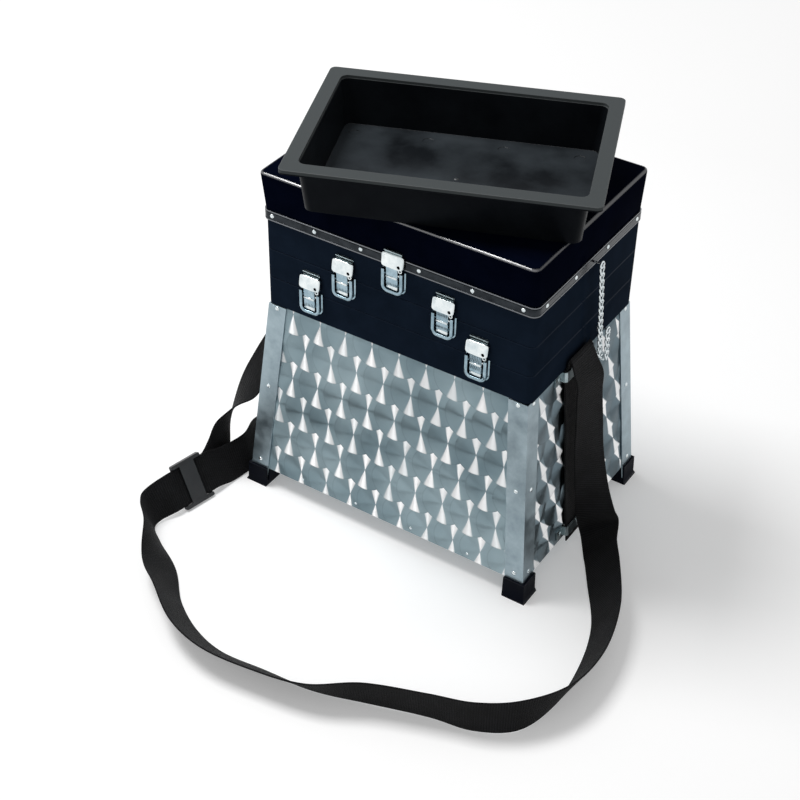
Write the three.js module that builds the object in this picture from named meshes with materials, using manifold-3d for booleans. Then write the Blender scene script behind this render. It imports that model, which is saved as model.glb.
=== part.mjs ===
// Fishing seat box with two hinged trays, lid, bait tray, draw latches, lid chain and shoulder strap.
// Driving dimensions in millimetres, +Z up, the latches face -Y, the origin is the middle of the footprint.
import * as THREE from 'three';
import { mergeVertices } from 'three/addons/utils/BufferGeometryUtils.js';
import Module from 'manifold-3d';

const wasm = await Module();
wasm.setup();

// Heights of the black stages, each stacked on the one below
const collarBottom = 269.3;
const collarHeight = 38;
const lowerTrayHeight = 38.7;
const upperTrayHeight = 40.7;
const lidHeight = 63.3;
const bandHeight = 12.6;
const seamGap = 0.3;
const collarTop = collarBottom + collarHeight;
const trayTop = collarTop + lowerTrayHeight;
const lidSeam = trayTop + upperTrayHeight;
const lidTop = lidSeam + lidHeight;

// Plan of the black stages
const stageHalfWidth = 177.6;
const stageFront = -119;
const stageBack = 124.5;
const stageRadius = 8;
const stageWall = 3;
const stageFloor = 2.5;
const stageChamfer = 0.8;
const arcSegments = 3;
const overrun = 1;

// Sloping aluminium body, outer faces of the corner angles at two heights
const collarClear = 1;
const bodyTuck = 1.7;
const bodyFrontProud = 0.85;
const bodyBackProud = 0.5;
const sideFlare = 22.2;
const frontFlare = 19.99;
const backFlare = 14.84;
const upperLevel = collarBottom - collarClear;
const upperHalfWidth = stageHalfWidth - bodyTuck;
const upperFront = stageFront - bodyFrontProud;
const upperBack = stageBack + bodyBackProud;
const lowerLevel = 24.4;
const lowerHalfWidth = upperHalfWidth + sideFlare;
const lowerFront = upperFront - frontFlare;
const lowerBack = upperBack + backFlare;

// Corner angles, panels and bin floor
const angleFlange = 25;
const angleThickness = 1.6;
const panelThickness = 1.2;
const panelBottom = 26;
const fitGap = 0.3;
const angleBottom = 8.3;
const rivetTopInset = 2.9;
const rivetMiddleShare = 0.523165;
const rivetBottomInset = 13.1;
const rivetMiddle = lowerLevel + (upperLevel - lowerLevel) * rivetMiddleShare;
const rivetLevels = [upperLevel - rivetTopInset, rivetMiddle, lowerLevel + rivetBottomInset];
const rivetRadius = 2.8;
const rivetHeight = 1.3;
const rivetSides = 8;
const rivetRings = 4;
const floorBottom = 28;
const floorThickness = 2;
const floorFlange = 18;
const floorBeadRadius = 2.4;
const floorBeadCount = 4;
const floorBeadShare = 0.7;

// Collar spigot inside the panels
const spigotDepth = 19.3;
const spigotBottom = collarBottom - spigotDepth;
const spigotWall = 3;
const collarWeb = 3;

// Plastic feet
const footTop = 27.5;
const footLip = 4.5;
const footWidth = 28;
const footLipWidth = 30.5;
const footTopProud = 2.7;
const footTopProudDeep = 2.86;
const footLipProud = 3.05;
const footLipProudDeep = 2.3;
const footTopHalfWidth = lowerHalfWidth + footTopProud;
const footTopHalfDepth = lowerBack + footTopProudDeep;
const footSplay = 0.8;
const footLipHalfWidth = footTopHalfWidth + footLipProud;
const footLipHalfDepth = footTopHalfDepth + footLipProudDeep;
const footSlotFloor = 8;

// Lid shell and its edging band
const lidFrontProud = 1.5;
const lidSideSwell = 0.8;
const lidFrontSwell = 7.5;
const lidBackSwell = 5.5;
const lidHalfWidth = stageHalfWidth;
const lidFront = stageFront - lidFrontProud;
const lidBack = stageBack;
const lidTopHalfWidth = lidHalfWidth + lidSideSwell;
const lidTopFront = lidFront - lidFrontSwell;
const lidTopBack = lidBack + lidBackSwell;
const lidWall = 3;
const lidPlate = 4;
const lidEdgeRound = 3.2;
const lidEdgeSegments = 3;
const lidRibDepth = 10;
const lidRibThickness = 2.4;
const lidRibShares = [-0.5, 0, 0.5];
const bandThickness = 1.5;
const bandGroove = 0.6;
const bandGrooveHeight = 1.1;
const bandGrooveShares = [0.16, 0.84];
const bandRivetShare = 0.53;
const bandRivetFrontShares = [-0.926239, -0.596847, -0.244932, 0.182995, 0.563063, 0.914977];
const bandRivetSideShares = [0.0795918, 0.3408163, 0.6428571, 0.9326531];
const bandRivetsFront = bandRivetFrontShares.map((share) => lidHalfWidth * share);
const bandRivetsSide = bandRivetSideShares.map((share) => lidFront + (lidBack - lidFront) * share);
const bandRivetRadius = 2.6;

// Tray dividers, as shares of the inside width and depth
const dividerThickness = 2;
const dividerDrop = 4;
const upperDividerShares = [-0.5, 0, 0.5];
const lowerDividerShares = [-0.34, 0.34];
const upperSplitShare = 0.08;
const lowerSplitShare = -0.16;

// Rear hinges
const hingeInset = 27.6;
const hingeLength = 2 * (stageHalfWidth - hingeInset);
const hingeKnuckles = 7;
const hingeKnuckleGap = 0.5;
const hingeRadius = 2.8;
const hingePinRadius = 1.4;
const hingePinGap = 0.3;
const hingeStandOff = 3;
const hingeLeafThickness = 1.4;
const hingeLeafReach = 12;
const hingeLeafStart = 3.2;
const hingeWebEnd = 4.5;
const hingeWebStart = 0.2;
const hingeSides = 8;
const hingeScrewShares = [-0.36, 0, 0.36];
const hingeScrewLevel = 8;

// Draw latches: place across the front, seam served, and drop of the whole latch below the seam
const latchDrop = 7.7;
const latchInsetLeftOuter = 65.1;
const latchInsetLeftInner = 111.1;
const latchInsetRightInner = 111.6;
const latchInsetRightOuter = 67.1;
const latchPlaces = [
  { x: latchInsetLeftOuter - stageHalfWidth, seam: collarTop, drop: 0, step: 0 },
  { x: latchInsetLeftInner - stageHalfWidth, seam: trayTop, drop: 0, step: 0 },
  { x: 0, seam: lidSeam, drop: latchDrop, step: stageFront - lidFront + bandThickness },
  { x: stageHalfWidth - latchInsetRightInner, seam: trayTop, drop: 0, step: 0 },
  { x: stageHalfWidth - latchInsetRightOuter, seam: collarTop, drop: 0, step: 0 },
];
const latchSheet = 1;
const leverWidth = 28.6;
const leverBottom = -26;
const leverTop = 3.4;
const leverFace = 7.5;
const leverFlangeDepth = 5.6;
const leverBar = 4.8;
const leverLowerBar = 5.2;
const leverCornerRadius = 4;
const leverPivotOut = 4.8;
const leverPivotLevel = -1;
const pivotRadius = 0.9;
const pivotGap = 0.25;
const pivotHead = 0.9;
const pivotHeadRadius = 1.9;
const hookPivotOut = 3.7;
const hookPivotLevel = -18.5;
const latchSides = 8;
const latchRivetSides = 6;
const latchArcSegments = 2;
const basePlateWidth = 23;
const basePlateBottom = -31;
const basePlateTop = -1.7;
const earOffset = 8.65;
const earReach = 2.4;
const earDrop = 7;
const hookWidth = 15.6;
const hookWindowWidth = 8.2;
const hookWindowBottom = -14;
const hookWindowTop = -4.5;
const hookNeckLevel = 7;
const hoodWidth = 29.4;
const hoodBottom = 9.6;
const hoodTop = 24.6;
const hoodFace = 7.5;
const hoodDepth = 5;
const hoodStepGap = 0.5;
const hoodRound = 3;
const hoodHoleRadius = 1.5;
const hoodHoleOffset = 9.4;
const hoodHoleLevel = 13.4;
const hoodEarRadius = 1.7;
const keeperWidth = 22;
const keeperBottom = 9;
const keeperTop = 28.6;
const latchPlay = 0.35;
const keeperLedgeWidth = 20;
const keeperLipReach = 3.2;
const hoodInnerGap = 1.9;
const latchRivetRadius = 1.6;
const latchRivetHeight = 0.9;
const baseRivetShare = 1.6;
const keeperRivetShare = 1.8;
const leverTongueShare = 0.1;

// Strap loops on both sides
const strapWidth = 50;
const strapThickness = 1.8;
const strapCentre = -15;
const loopHeight = 13;
const loopThickness = 2;
const loopOpening = 54;
const loopRise = 6.4;
const loopFrontTab = 16;
const loopRearTab = 19;
const loopCorner = 2.6;
const upperLoopDrop = 7.3;
const lowerLoopRise = 14.1;
const upperLoopLevel = collarBottom - upperLoopDrop;
const lowerLoopLevel = lowerLevel + lowerLoopRise;
const loopRivetRadius = 2.8;

// Lid chain: base stud and lid stud places in the plane of the right side, then the links
const chainStandOff = 8.3;
const chainPlaneGap = 3.9;
const chainInner = stageHalfWidth + chainStandOff;
const chainOuter = chainInner + chainPlaneGap;
const lidStudRise = 6.3;
const baseStudRise = 15.2;
const lidStudY = 3;
const lidStudLevel = lidSeam + lidStudRise;
const baseStudY = 38;
const baseStudLevel = collarBottom + baseStudRise;
const studRadius = 1.3;
const studHeadRadius = 2.5;
const studHead = 1.2;
const studPlateRadius = 4.6;
const studPlate = 1.2;
const ringRadius = 3.7;
const wireRadius = 1.05;
const linkPitch = 9.83;
const linkWidth = 8.6;
const linkBite = 0.25;
const linkTwist = 0.42;
const linkTubeSides = 4;
const linkArcSides = 8;
const upperLinks = 13;
const middleLinks = 3;
const lowerLinks = 4;
const upperLean = 8.4;
const lowerLean = 6.5;
const chainPlay = 0.25;

// Bait tray standing turned on the lid
const baitX = 14.5;
const baitY = -19.7;
const baitTurn = 21.5;
const baitHeight = 60;
const baitRimWidth = 340.5;
const baitRimDepth = 243;
const baitRimRadius = 7;
const baitRimThickness = 2.4;
const baitRimLip = 3;
const baitRimChamferShare = 0.2;
const baitMouthWidth = 307;
const baitMouthDepth = 208;
const baitFloorWidth = 295;
const baitFloorDepth = 194;
const baitInnerRadius = 9;
const baitWall = 2.2;
const ejectorXs = [-133, -46, 41, 128];
const ejectorY = 76;
const ejectorRadius = 7;
const ejectorDepth = 0.5;
const gateRadius = 3;
const markSides = 8;

// Strap adjuster
const sliderWidth = 60;
const sliderLength = 44;
const sliderThickness = 2.6;
const sliderRail = 4.6;
const sliderBar = 22;
const sliderEdgeBar = 5;
const sliderRise = 3.2;

const sliderCentre = [-237.3, -213, 27.6];
const sliderAlong = [0.2, 0.98, 0];
const sliderLean = [-0.45, 0.09, 0.885];

// Webbing routes: the lower edge and the upper edge of each station
const groundClear = 0.3;
const wallClear = 1.4;
const loopClear = 2.2;
const crestStandOff = 5;
const crestRise = 14.9;
const wallEndSpread = 3.8;
const wallEndDrop = 3.8;
const crestOut = stageHalfWidth + crestStandOff;
const crestLevel = collarBottom + crestRise;
const wallEndOut = crestOut + wallEndSpread;
const wallEndLevel = crestLevel - wallEndDrop;
const wallTailLevel = 21;
const wallRestLevels = [62, 150, 210, 240];
const loopExitRise = 10;
const loopExitGap = 0.7;
const tangentShare = 0.002;
const shoulderRoute = [
  [[186.6, -40, 278.8], [186.9, 10, 278.8]],
  [[190, -40, 267], [194, 10, 265]],
  [[194, -38, 250], [202, 12, 247]],
  [[196, -39, 228], [204, 9, 224]],
  [[198, -39, 195], [209, 8, 186]],
  [[200, -39, 154], [216, 5, 141]],
  [[203, -36, 108], [229, 3, 92]],
  [[205, -27, 60], [240, 5, 55]],
  [[209, -16, 18], [245, 9, 38]],
  [[226, -37, 1.2], [256, -15, 34]],
  [[249, -72, 1.2], [279, -52, 36]],
  [[287, -133, 1.2], [314, -121, 41]],
  [[305, -199, 1.2], [332, -196, 43]],
  [[308, -262, 1.2], [326, -263, 47]],
  [[292, -315, 1.2], [294, -316, 51]],
  [[253, -341, 1.2], [254, -345, 51]],
  [[205, -351, 1.2], [207, -361, 50]],
  [[135, -373, 1.2], [139, -387, 49]],
  [[75, -391, 1.2], [85, -418, 42]],
  [[14, -397, 1.2], [18, -431, 38]],
  [[-45, -402, 1.2], [-48, -435, 38]],
  [[-88, -391, 1.2], [-101, -421, 39]],
  [[-131, -366, 1.2], [-152, -388, 41]],
  [[-170, -328, 1.2], [-194, -358, 33]],
  [[-217, -301, 1.2], [-226, -315, 48]],
  [[-240, -284, 1.5], [-248, -295, 49]],
  [[-241, -270, 3], [-257, -280, 48]],
];
const lowerBranchRoute = [
  [[-214, -160, 2.4], [-233, -158, 46]],
  [[-209, -125, 1.4], [-224, -122, 48]],
  [[-208, -90, 1.2], [-240, -80, 38]],
  [[-209, -60, 1.5], [-247, -30, 12]],
  [[-210, -44, 3], [-238, -3, 4]],
  [[-206, -38, 8], [-210, 12, 7]],
  [[-200.8, -37, 20], [-200.8, 13, 20]],
];
const upperBranchRoute = [
  [[-229, -160, 11], [-247, -163, 54]],
  [[-237, -136, 32], [-243, -152, 76]],
  [[-251, -113, 58], [-229, -137, 96]],
  [[-240, -78, 135], [-205, -107, 118]],
  [[-226, -32, 186], [-203, -76, 176]],
  [[-209, -4, 230], [-197, -51, 222]],
  [[-197, 10, 264], [-192, -40, 262]],
  [[-186.9, 10, 278.8], [-186.6, -40, 278.8]],
];
const shoulderSegments = 90;
const branchSegments = 30;
const wallSegments = 20;

const materials = {
  gloss: { color: 0x090b13, roughness: 0.16, metalness: 0 },
  tray: { color: 0x17181a, roughness: 0.5, metalness: 0 },
  rubber: { color: 0x15161b, roughness: 0.75, metalness: 0 },
  swirl: { color: 0xa9b6bd, roughness: 0.3, metalness: 1 },
  angle: { color: 0xb4bfc0, roughness: 0.38, metalness: 1 },
  band: { color: 0x4a4b4c, roughness: 0.35, metalness: 0.9 },
  zinc: { color: 0xc9d2d6, roughness: 0.22, metalness: 1 },
  hinge: { color: 0x9ba2a5, roughness: 0.35, metalness: 1 },
  chain: { color: 0xbfc6ca, roughness: 0.2, metalness: 1 },
  webbing: { color: 0x232426, roughness: 0.9, metalness: 0 },
};

const rigid = new THREE.Group();
const soft = new THREE.Group();
const degrees = Math.PI / 180;

function mix(from, to, share) {
  return from + (to - from) * share;
}

function solid(geometry) {
  geometry.deleteAttribute('normal');
  geometry.deleteAttribute('uv');
  const welded = mergeVertices(geometry);
  const vertProperties = Float32Array.from(welded.attributes.position.array);
  const triVerts = Uint32Array.from(welded.index.array);
  return new wasm.Manifold(new wasm.Mesh({ numProp: 3, vertProperties, triVerts }));
}

function put(group, name, shape, look) {
  const mesh = shape.getMesh();
  const geometry = new THREE.BufferGeometry();
  geometry.setAttribute('position', new THREE.BufferAttribute(Float32Array.from(mesh.vertProperties), 3));
  geometry.setIndex(Array.from(mesh.triVerts));
  geometry.computeVertexNormals();
  const node = new THREE.Mesh(geometry, new THREE.MeshStandardMaterial(materials[look]));
  node.name = name;
  group.add(node);
  return node;
}

function joined(list) {
  return list.reduce((sum, next) => sum.add(next));
}

// Basic closed solids

function block(x0, x1, y0, y1, z0, z1) {
  const geometry = new THREE.BoxGeometry(x1 - x0, y1 - y0, z1 - z0);
  geometry.translate((x0 + x1) / 2, (y0 + y1) / 2, (z0 + z1) / 2);
  return solid(geometry);
}

function taperedBlock(low, high, z0, z1) {
  const geometry = new THREE.BoxGeometry(1, 1, 1);
  const at = geometry.attributes.position;
  for (let i = 0; i < at.count; i += 1) {
    const rim = at.getZ(i) > 0 ? high : low;
    const x = at.getX(i) > 0 ? rim.x1 : rim.x0;
    const y = at.getY(i) > 0 ? rim.y1 : rim.y0;
    at.setXYZ(i, x, y, at.getZ(i) > 0 ? z1 : z0);
  }
  return solid(geometry);
}

function roundedOutline(x0, x1, y0, y1, radius) {
  const shape = new THREE.Shape();
  shape.moveTo(x0 + radius, y0);
  shape.lineTo(x1 - radius, y0);
  shape.absarc(x1 - radius, y0 + radius, radius, -Math.PI / 2, 0, false);
  shape.lineTo(x1, y1 - radius);
  shape.absarc(x1 - radius, y1 - radius, radius, 0, Math.PI / 2, false);
  shape.lineTo(x0 + radius, y1);
  shape.absarc(x0 + radius, y1 - radius, radius, Math.PI / 2, Math.PI, false);
  shape.lineTo(x0, y0 + radius);
  shape.absarc(x0 + radius, y0 + radius, radius, Math.PI, Math.PI * 1.5, false);
  return shape;
}

function roundedBlock(x0, x1, y0, y1, z0, z1, radius, chamfer = 0, chamferSegments = 1, arcs = arcSegments) {
  const outline = roundedOutline(x0, x1, y0, y1, radius);
  const geometry = new THREE.ExtrudeGeometry(outline, {
    depth: z1 - z0 - 2 * chamfer,
    curveSegments: arcs,
    bevelEnabled: chamfer > 0,
    bevelThickness: chamfer,
    bevelSize: chamfer,
    bevelOffset: -chamfer,
    bevelSegments: chamferSegments,
  });
  geometry.translate(0, 0, z0 + chamfer);
  return solid(geometry);
}

function loftedBlock(low, high, z0, z1, radius) {
  const width = low.x1 - low.x0;
  const depth = low.y1 - low.y0;
  const shape = roundedBlock(low.x0, low.x1, low.y0, low.y1, z0, z1, radius);
  return shape.warp((point) => {
    const share = (point[2] - z0) / (z1 - z0);
    const across = (point[0] - low.x0) / width;
    const along = (point[1] - low.y0) / depth;
    point[0] = mix(point[0], mix(high.x0, high.x1, across), share);
    point[1] = mix(point[1], mix(high.y0, high.y1, along), share);
  });
}

function rod(radius, length, sides) {
  return solid(new THREE.CylinderGeometry(radius, radius, length, sides));
}

function rodX(radius, x0, x1, y, z, sides) {
  return rod(radius, x1 - x0, sides).rotate([0, 0, 90]).translate([(x0 + x1) / 2, y, z]);
}

function dome(radius, height, sides = rivetSides) {
  const geometry = new THREE.SphereGeometry(radius, sides, rivetRings);
  geometry.rotateX(Math.PI / 2);
  geometry.scale(1, 1, height / radius);
  return solid(geometry);
}

function domeOut(radius, height, x, y, z, turnX, turnY) {
  return dome(radius, height).rotate([turnX, turnY, 0]).translate([x, y, z]);
}

function profileAlongX(points, x0, x1) {
  const shape = new THREE.Shape(points.map(([y, z]) => new THREE.Vector2(y, z)));
  const geometry = new THREE.ExtrudeGeometry(shape, { depth: x1 - x0, bevelEnabled: false });
  const at = geometry.attributes.position;
  for (let i = 0; i < at.count; i += 1) {
    at.setXYZ(i, x0 + at.getZ(i), at.getX(i), at.getY(i));
  }
  return solid(geometry);
}

// Sloping body: inset outline at any height

function bodyOutline(z, inset) {
  const share = (upperLevel - z) / (upperLevel - lowerLevel);
  const half = mix(upperHalfWidth, lowerHalfWidth, share) - inset;
  return {
    x0: -half,
    x1: half,
    y0: mix(upperFront, lowerFront, share) + inset,
    y1: mix(upperBack, lowerBack, share) - inset,
  };
}

function bodyBlock(inset, z0, z1) {
  return taperedBlock(bodyOutline(z0, inset), bodyOutline(z1, inset), z0, z1);
}

const panelInset = angleThickness + fitGap;
const panelInner = panelInset + panelThickness;
const sidePanelInset = panelInner + fitGap;
const panelTop = collarBottom - fitGap;
const sideSlope = Math.atan((lowerHalfWidth - upperHalfWidth) / (upperLevel - lowerLevel)) / degrees;
const frontSlope = Math.atan((upperFront - lowerFront) / (upperLevel - lowerLevel)) / degrees;
const backSlope = Math.atan((lowerBack - upperBack) / (upperLevel - lowerLevel)) / degrees;

function facePanel(pick) {
  const low = pick(panelBottom);
  const high = pick(panelTop);
  return taperedBlock(low, high, panelBottom, panelTop);
}

function addPanels() {
  const frontAt = (z) => {
    const outer = bodyOutline(z, panelInset);
    return { ...outer, y1: outer.y0 + panelThickness };
  };
  const backAt = (z) => {
    const outer = bodyOutline(z, panelInset);
    return { ...outer, y0: outer.y1 - panelThickness };
  };
  const sideAt = (z, side) => {
    const outer = bodyOutline(z, panelInset);
    const between = bodyOutline(z, sidePanelInset);
    const face = side * outer.x1;
    const inner = face - side * panelThickness;
    return { x0: Math.min(face, inner), x1: Math.max(face, inner), y0: between.y0, y1: between.y1 };
  };
  put(rigid, 'panel_front', facePanel(frontAt), 'swirl');
  put(rigid, 'panel_back', facePanel(backAt), 'swirl');
  put(rigid, 'panel_left', facePanel((z) => sideAt(z, -1)), 'swirl');
  put(rigid, 'panel_right', facePanel((z) => sideAt(z, 1)), 'swirl');
}

// Corner angles with their rivet heads

function cornerColumn(z, sx, sy, width) {
  const outer = bodyOutline(z, 0);
  const x = sx * outer.x1;
  const y = sy > 0 ? outer.y1 : outer.y0;
  return {
    x0: Math.min(x, x - sx * width),
    x1: Math.max(x, x - sx * width),
    y0: Math.min(y, y - sy * width),
    y1: Math.max(y, y - sy * width),
  };
}

function cornerAngle(sx, sy) {
  const column = taperedBlock(
    cornerColumn(angleBottom, sx, sy, angleFlange),
    cornerColumn(panelTop, sx, sy, angleFlange),
    angleBottom,
    panelTop,
  );
  const core = bodyBlock(angleThickness, angleBottom - overrun, panelTop + overrun);
  const parts = [column.subtract(core)];
  for (const z of rivetLevels) {
    const outer = bodyOutline(z, 0);
    const y = sy > 0 ? outer.y1 : outer.y0;
    const lean = sy > 0 ? backSlope : frontSlope;
    const x = sx * outer.x1;
    const middle = angleFlange / 2;
    parts.push(domeOut(rivetRadius, rivetHeight, x - sx * middle, y, z, 90 - sy * lean, 0));
    parts.push(domeOut(rivetRadius, rivetHeight, x, y - sy * middle, z, 0, 90 + sx * sideSlope));
  }
  return joined(parts);
}

// Plastic foot: splayed block with a lip, slotted for the angle and the panels

function footRim(halfWidth, halfDepth, width, sx, sy) {
  const x = sx * halfWidth;
  const y = sy * halfDepth;
  return {
    x0: Math.min(x, x - sx * width),
    x1: Math.max(x, x - sx * width),
    y0: Math.min(y, y - sy * width),
    y1: Math.max(y, y - sy * width),
  };
}

function foot(sx, sy) {
  const top = footRim(footTopHalfWidth, footTopHalfDepth, footWidth, sx, sy);
  const waistWidth = footTopHalfWidth + footSplay;
  const waistDepth = footTopHalfDepth + footSplay;
  const waist = footRim(waistWidth, waistDepth, footWidth + footSplay, sx, sy);
  const lip = footRim(footLipHalfWidth, footLipHalfDepth, footLipWidth, sx, sy);
  const body = taperedBlock(waist, top, footLip, footTop);
  const sole = taperedBlock(lip, waist, 0, footLip);
  const outer = bodyBlock(-fitGap, footSlotFloor, footTop + overrun);
  const inner = bodyBlock(panelInner + fitGap, footSlotFloor - overrun, footTop + overrun);
  return body.add(sole).subtract(outer.subtract(inner));
}

function addCorners() {
  for (const [sx, sy, place] of [[-1, -1, 'fl'], [1, -1, 'fr'], [-1, 1, 'bl'], [1, 1, 'br']]) {
    put(rigid, `corner_angle_${place}`, cornerAngle(sx, sy), 'angle');
    put(rigid, `foot_${place}`, foot(sx, sy), 'rubber');
  }
}

// Bin floor: flanged pan with stiffening beads

function binFloor() {
  const inset = sidePanelInset + fitGap;
  const top = floorBottom + floorFlange;
  const wall = inset + panelThickness;
  const upperFace = floorBottom + floorThickness;
  const pan = bodyBlock(inset, floorBottom, top).subtract(bodyBlock(wall, upperFace, top + overrun));
  const room = bodyOutline(upperFace, wall);
  const length = (room.x1 - room.x0) * floorBeadShare;
  const parts = [pan];
  for (let i = 0; i < floorBeadCount; i += 1) {
    const share = (i + 1) / (floorBeadCount + 1);
    const y = mix(room.y0, room.y1, share);
    parts.push(rodX(floorBeadRadius, -length / 2, length / 2, y, upperFace, latchSides));
  }
  const beads = joined(parts);
  const trim = block(room.x0, room.x1, room.y0, room.y1, 0, floorBottom);
  return beads.subtract(trim);
}

// Collar: moulded ring with a spigot that drops inside the panels

function collar() {
  const top = collarTop - seamGap;
  const x = stageHalfWidth;
  const outer = roundedBlock(-x, x, stageFront, stageBack, collarBottom, top, stageRadius, stageChamfer);
  const web = collarBottom + collarWeb;
  const wall = stageWall;
  const radius = stageRadius - wall;
  const room = roundedBlock(
    -x + wall, x - wall, stageFront + wall, stageBack - wall, web, top + overrun, radius,
  );
  const edge = bodyOutline(collarBottom, panelInner + fitGap);
  const inner = {
    x0: edge.x0 + spigotWall,
    x1: edge.x1 - spigotWall,
    y0: edge.y0 + spigotWall,
    y1: edge.y1 - spigotWall,
  };
  const spigot = block(edge.x0, edge.x1, edge.y0, edge.y1, spigotBottom, web);
  const throat = block(inner.x0, inner.x1, inner.y0, inner.y1, spigotBottom - overrun, web + overrun);
  return outer.add(spigot).subtract(room).subtract(throat);
}

// Hinged trays: open box with dividers

function stageTray(bottom, top, dividerShares, splitShare) {
  const rim = top - seamGap;
  const x = stageHalfWidth;
  const outer = roundedBlock(-x, x, stageFront, stageBack, bottom, rim, stageRadius, stageChamfer);
  const room = {
    x0: -x + stageWall,
    x1: x - stageWall,
    y0: stageFront + stageWall,
    y1: stageBack - stageWall,
  };
  const radius = stageRadius - stageWall;
  const floor = bottom + stageFloor;
  const shell = outer.subtract(
    roundedBlock(room.x0, room.x1, room.y0, room.y1, floor, rim + overrun, radius),
  );
  const half = dividerThickness / 2;
  const wallTop = rim - dividerDrop;
  const middle = mix(stageFront, stageBack, 0.5 + splitShare);
  const reach = stageWall / 2;
  const parts = [shell];
  const sunk = stageFloor / 2;
  parts.push(block(room.x0 - reach, room.x1 + reach, middle - half, middle + half, floor - sunk, wallTop));
  for (const share of dividerShares) {
    const at = share * stageHalfWidth;
    parts.push(block(at - half, at + half, room.y0 - reach, middle, floor - sunk, wallTop));
  }
  const rear = mix(room.x0, room.x1, 0.5);
  parts.push(block(rear - half, rear + half, middle, room.y1 + reach, floor - sunk, wallTop));
  return joined(parts);
}

// Lid: flared shell with a rounded top edge and ribs beneath

function lidShell() {
  const low = { x0: -lidHalfWidth, x1: lidHalfWidth, y0: lidFront, y1: lidBack };
  const high = { x0: -lidTopHalfWidth, x1: lidTopHalfWidth, y0: lidTopFront, y1: lidTopBack };
  const start = lidSeam + bandHeight;
  const flare = (shape) => shape.warp((point) => {
    const share = Math.max(0, (point[2] - start) / (lidTop - start));
    const across = (point[0] - low.x0) / (low.x1 - low.x0);
    const along = (point[1] - low.y0) / (low.y1 - low.y0);
    point[0] = mix(point[0], mix(high.x0, high.x1, across), share);
    point[1] = mix(point[1], mix(high.y0, high.y1, along), share);
  });
  const round = lidEdgeRound;
  const upper = roundedBlock(
    low.x0, low.x1, low.y0, low.y1, start - round - overrun, lidTop, stageRadius, round, lidEdgeSegments,
  );
  const belt = roundedBlock(low.x0, low.x1, low.y0, low.y1, lidSeam, start, stageRadius);
  const cut = block(low.x0 - overrun, low.x1 + overrun, low.y0 - overrun, low.y1 + overrun, 0, start);
  const outer = flare(upper.subtract(cut)).add(belt);
  const wall = lidWall;
  const roof = lidTop - lidPlate;
  const radius = stageRadius - wall;
  const room = flare(roundedBlock(
    low.x0 + wall, low.x1 - wall, low.y0 + wall, low.y1 - wall, start, roof, radius,
  ));
  const mouth = roundedBlock(
    low.x0 + wall, low.x1 - wall, low.y0 + wall, low.y1 - wall, lidSeam - overrun, start + overrun, radius,
  );
  const parts = [outer.subtract(room).subtract(mouth)];
  const half = lidRibThickness / 2;
  for (const share of lidRibShares) {
    const x = share * lidHalfWidth;
    const back = lidBack - wall / 2;
    parts.push(block(x - half, x + half, lidFront + wall / 2, back, roof - lidRibDepth, roof + overrun));
  }
  return joined(parts);
}

// Edging band round the lid with grooves, rivet heads and the chain stud

function lidBand() {
  const top = lidSeam + bandHeight;
  const ring = (inset, z0, z1, radius) => roundedBlock(
    -lidHalfWidth + inset, lidHalfWidth - inset, lidFront + inset, lidBack - inset, z0, z1, radius,
  );
  const outerRadius = stageRadius + bandThickness;
  const body = ring(-bandThickness, lidSeam, top, outerRadius);
  const core = ring(0, lidSeam - overrun, top + overrun, stageRadius);
  let band = body.subtract(core);
  for (const share of bandGrooveShares) {
    const z = mix(lidSeam, top, share);
    const half = bandGrooveHeight / 2;
    const inset = bandGroove - bandThickness;
    const wide = ring(-bandThickness - overrun, z - half, z + half, outerRadius + overrun);
    const deep = ring(inset, z - half - overrun, z + half + overrun, outerRadius - bandGroove);
    band = band.subtract(wide.subtract(deep));
  }
  const z = mix(lidSeam, top, bandRivetShare);
  const parts = [band];
  const front = lidFront - bandThickness;
  const back = lidBack + bandThickness;
  const side = lidHalfWidth + bandThickness;
  for (const x of bandRivetsFront) {
    parts.push(domeOut(bandRivetRadius, rivetHeight, x, front, z, 90, 0));
    if (Math.abs(x) > hingeLength / 2 + bandRivetRadius) {
      parts.push(domeOut(bandRivetRadius, rivetHeight, x, back, z, 90, 0));
    }
  }
  for (const y of bandRivetsSide) {
    parts.push(domeOut(bandRivetRadius, rivetHeight, side, y, z, 0, 90));
    parts.push(domeOut(bandRivetRadius, rivetHeight, -side, y, z, 0, 90));
  }
  parts.push(stud(side - bandThickness / 2, chainOuter, lidStudY, lidStudLevel));
  return joined(parts);
}

function stud(x0, ringPlane, y, z) {
  const room = wireRadius + chainPlay;
  const neck = rodX(studRadius, x0, ringPlane + room + studHead / 2, y, z, latchSides);
  const head = rodX(studHeadRadius, ringPlane + room, ringPlane + room + studHead, y, z, latchSides);
  return neck.add(head);
}

// Knuckled hinge along the rear edge

function hingeAxisY(standFace) {
  return standFace + hingeStandOff;
}

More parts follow.
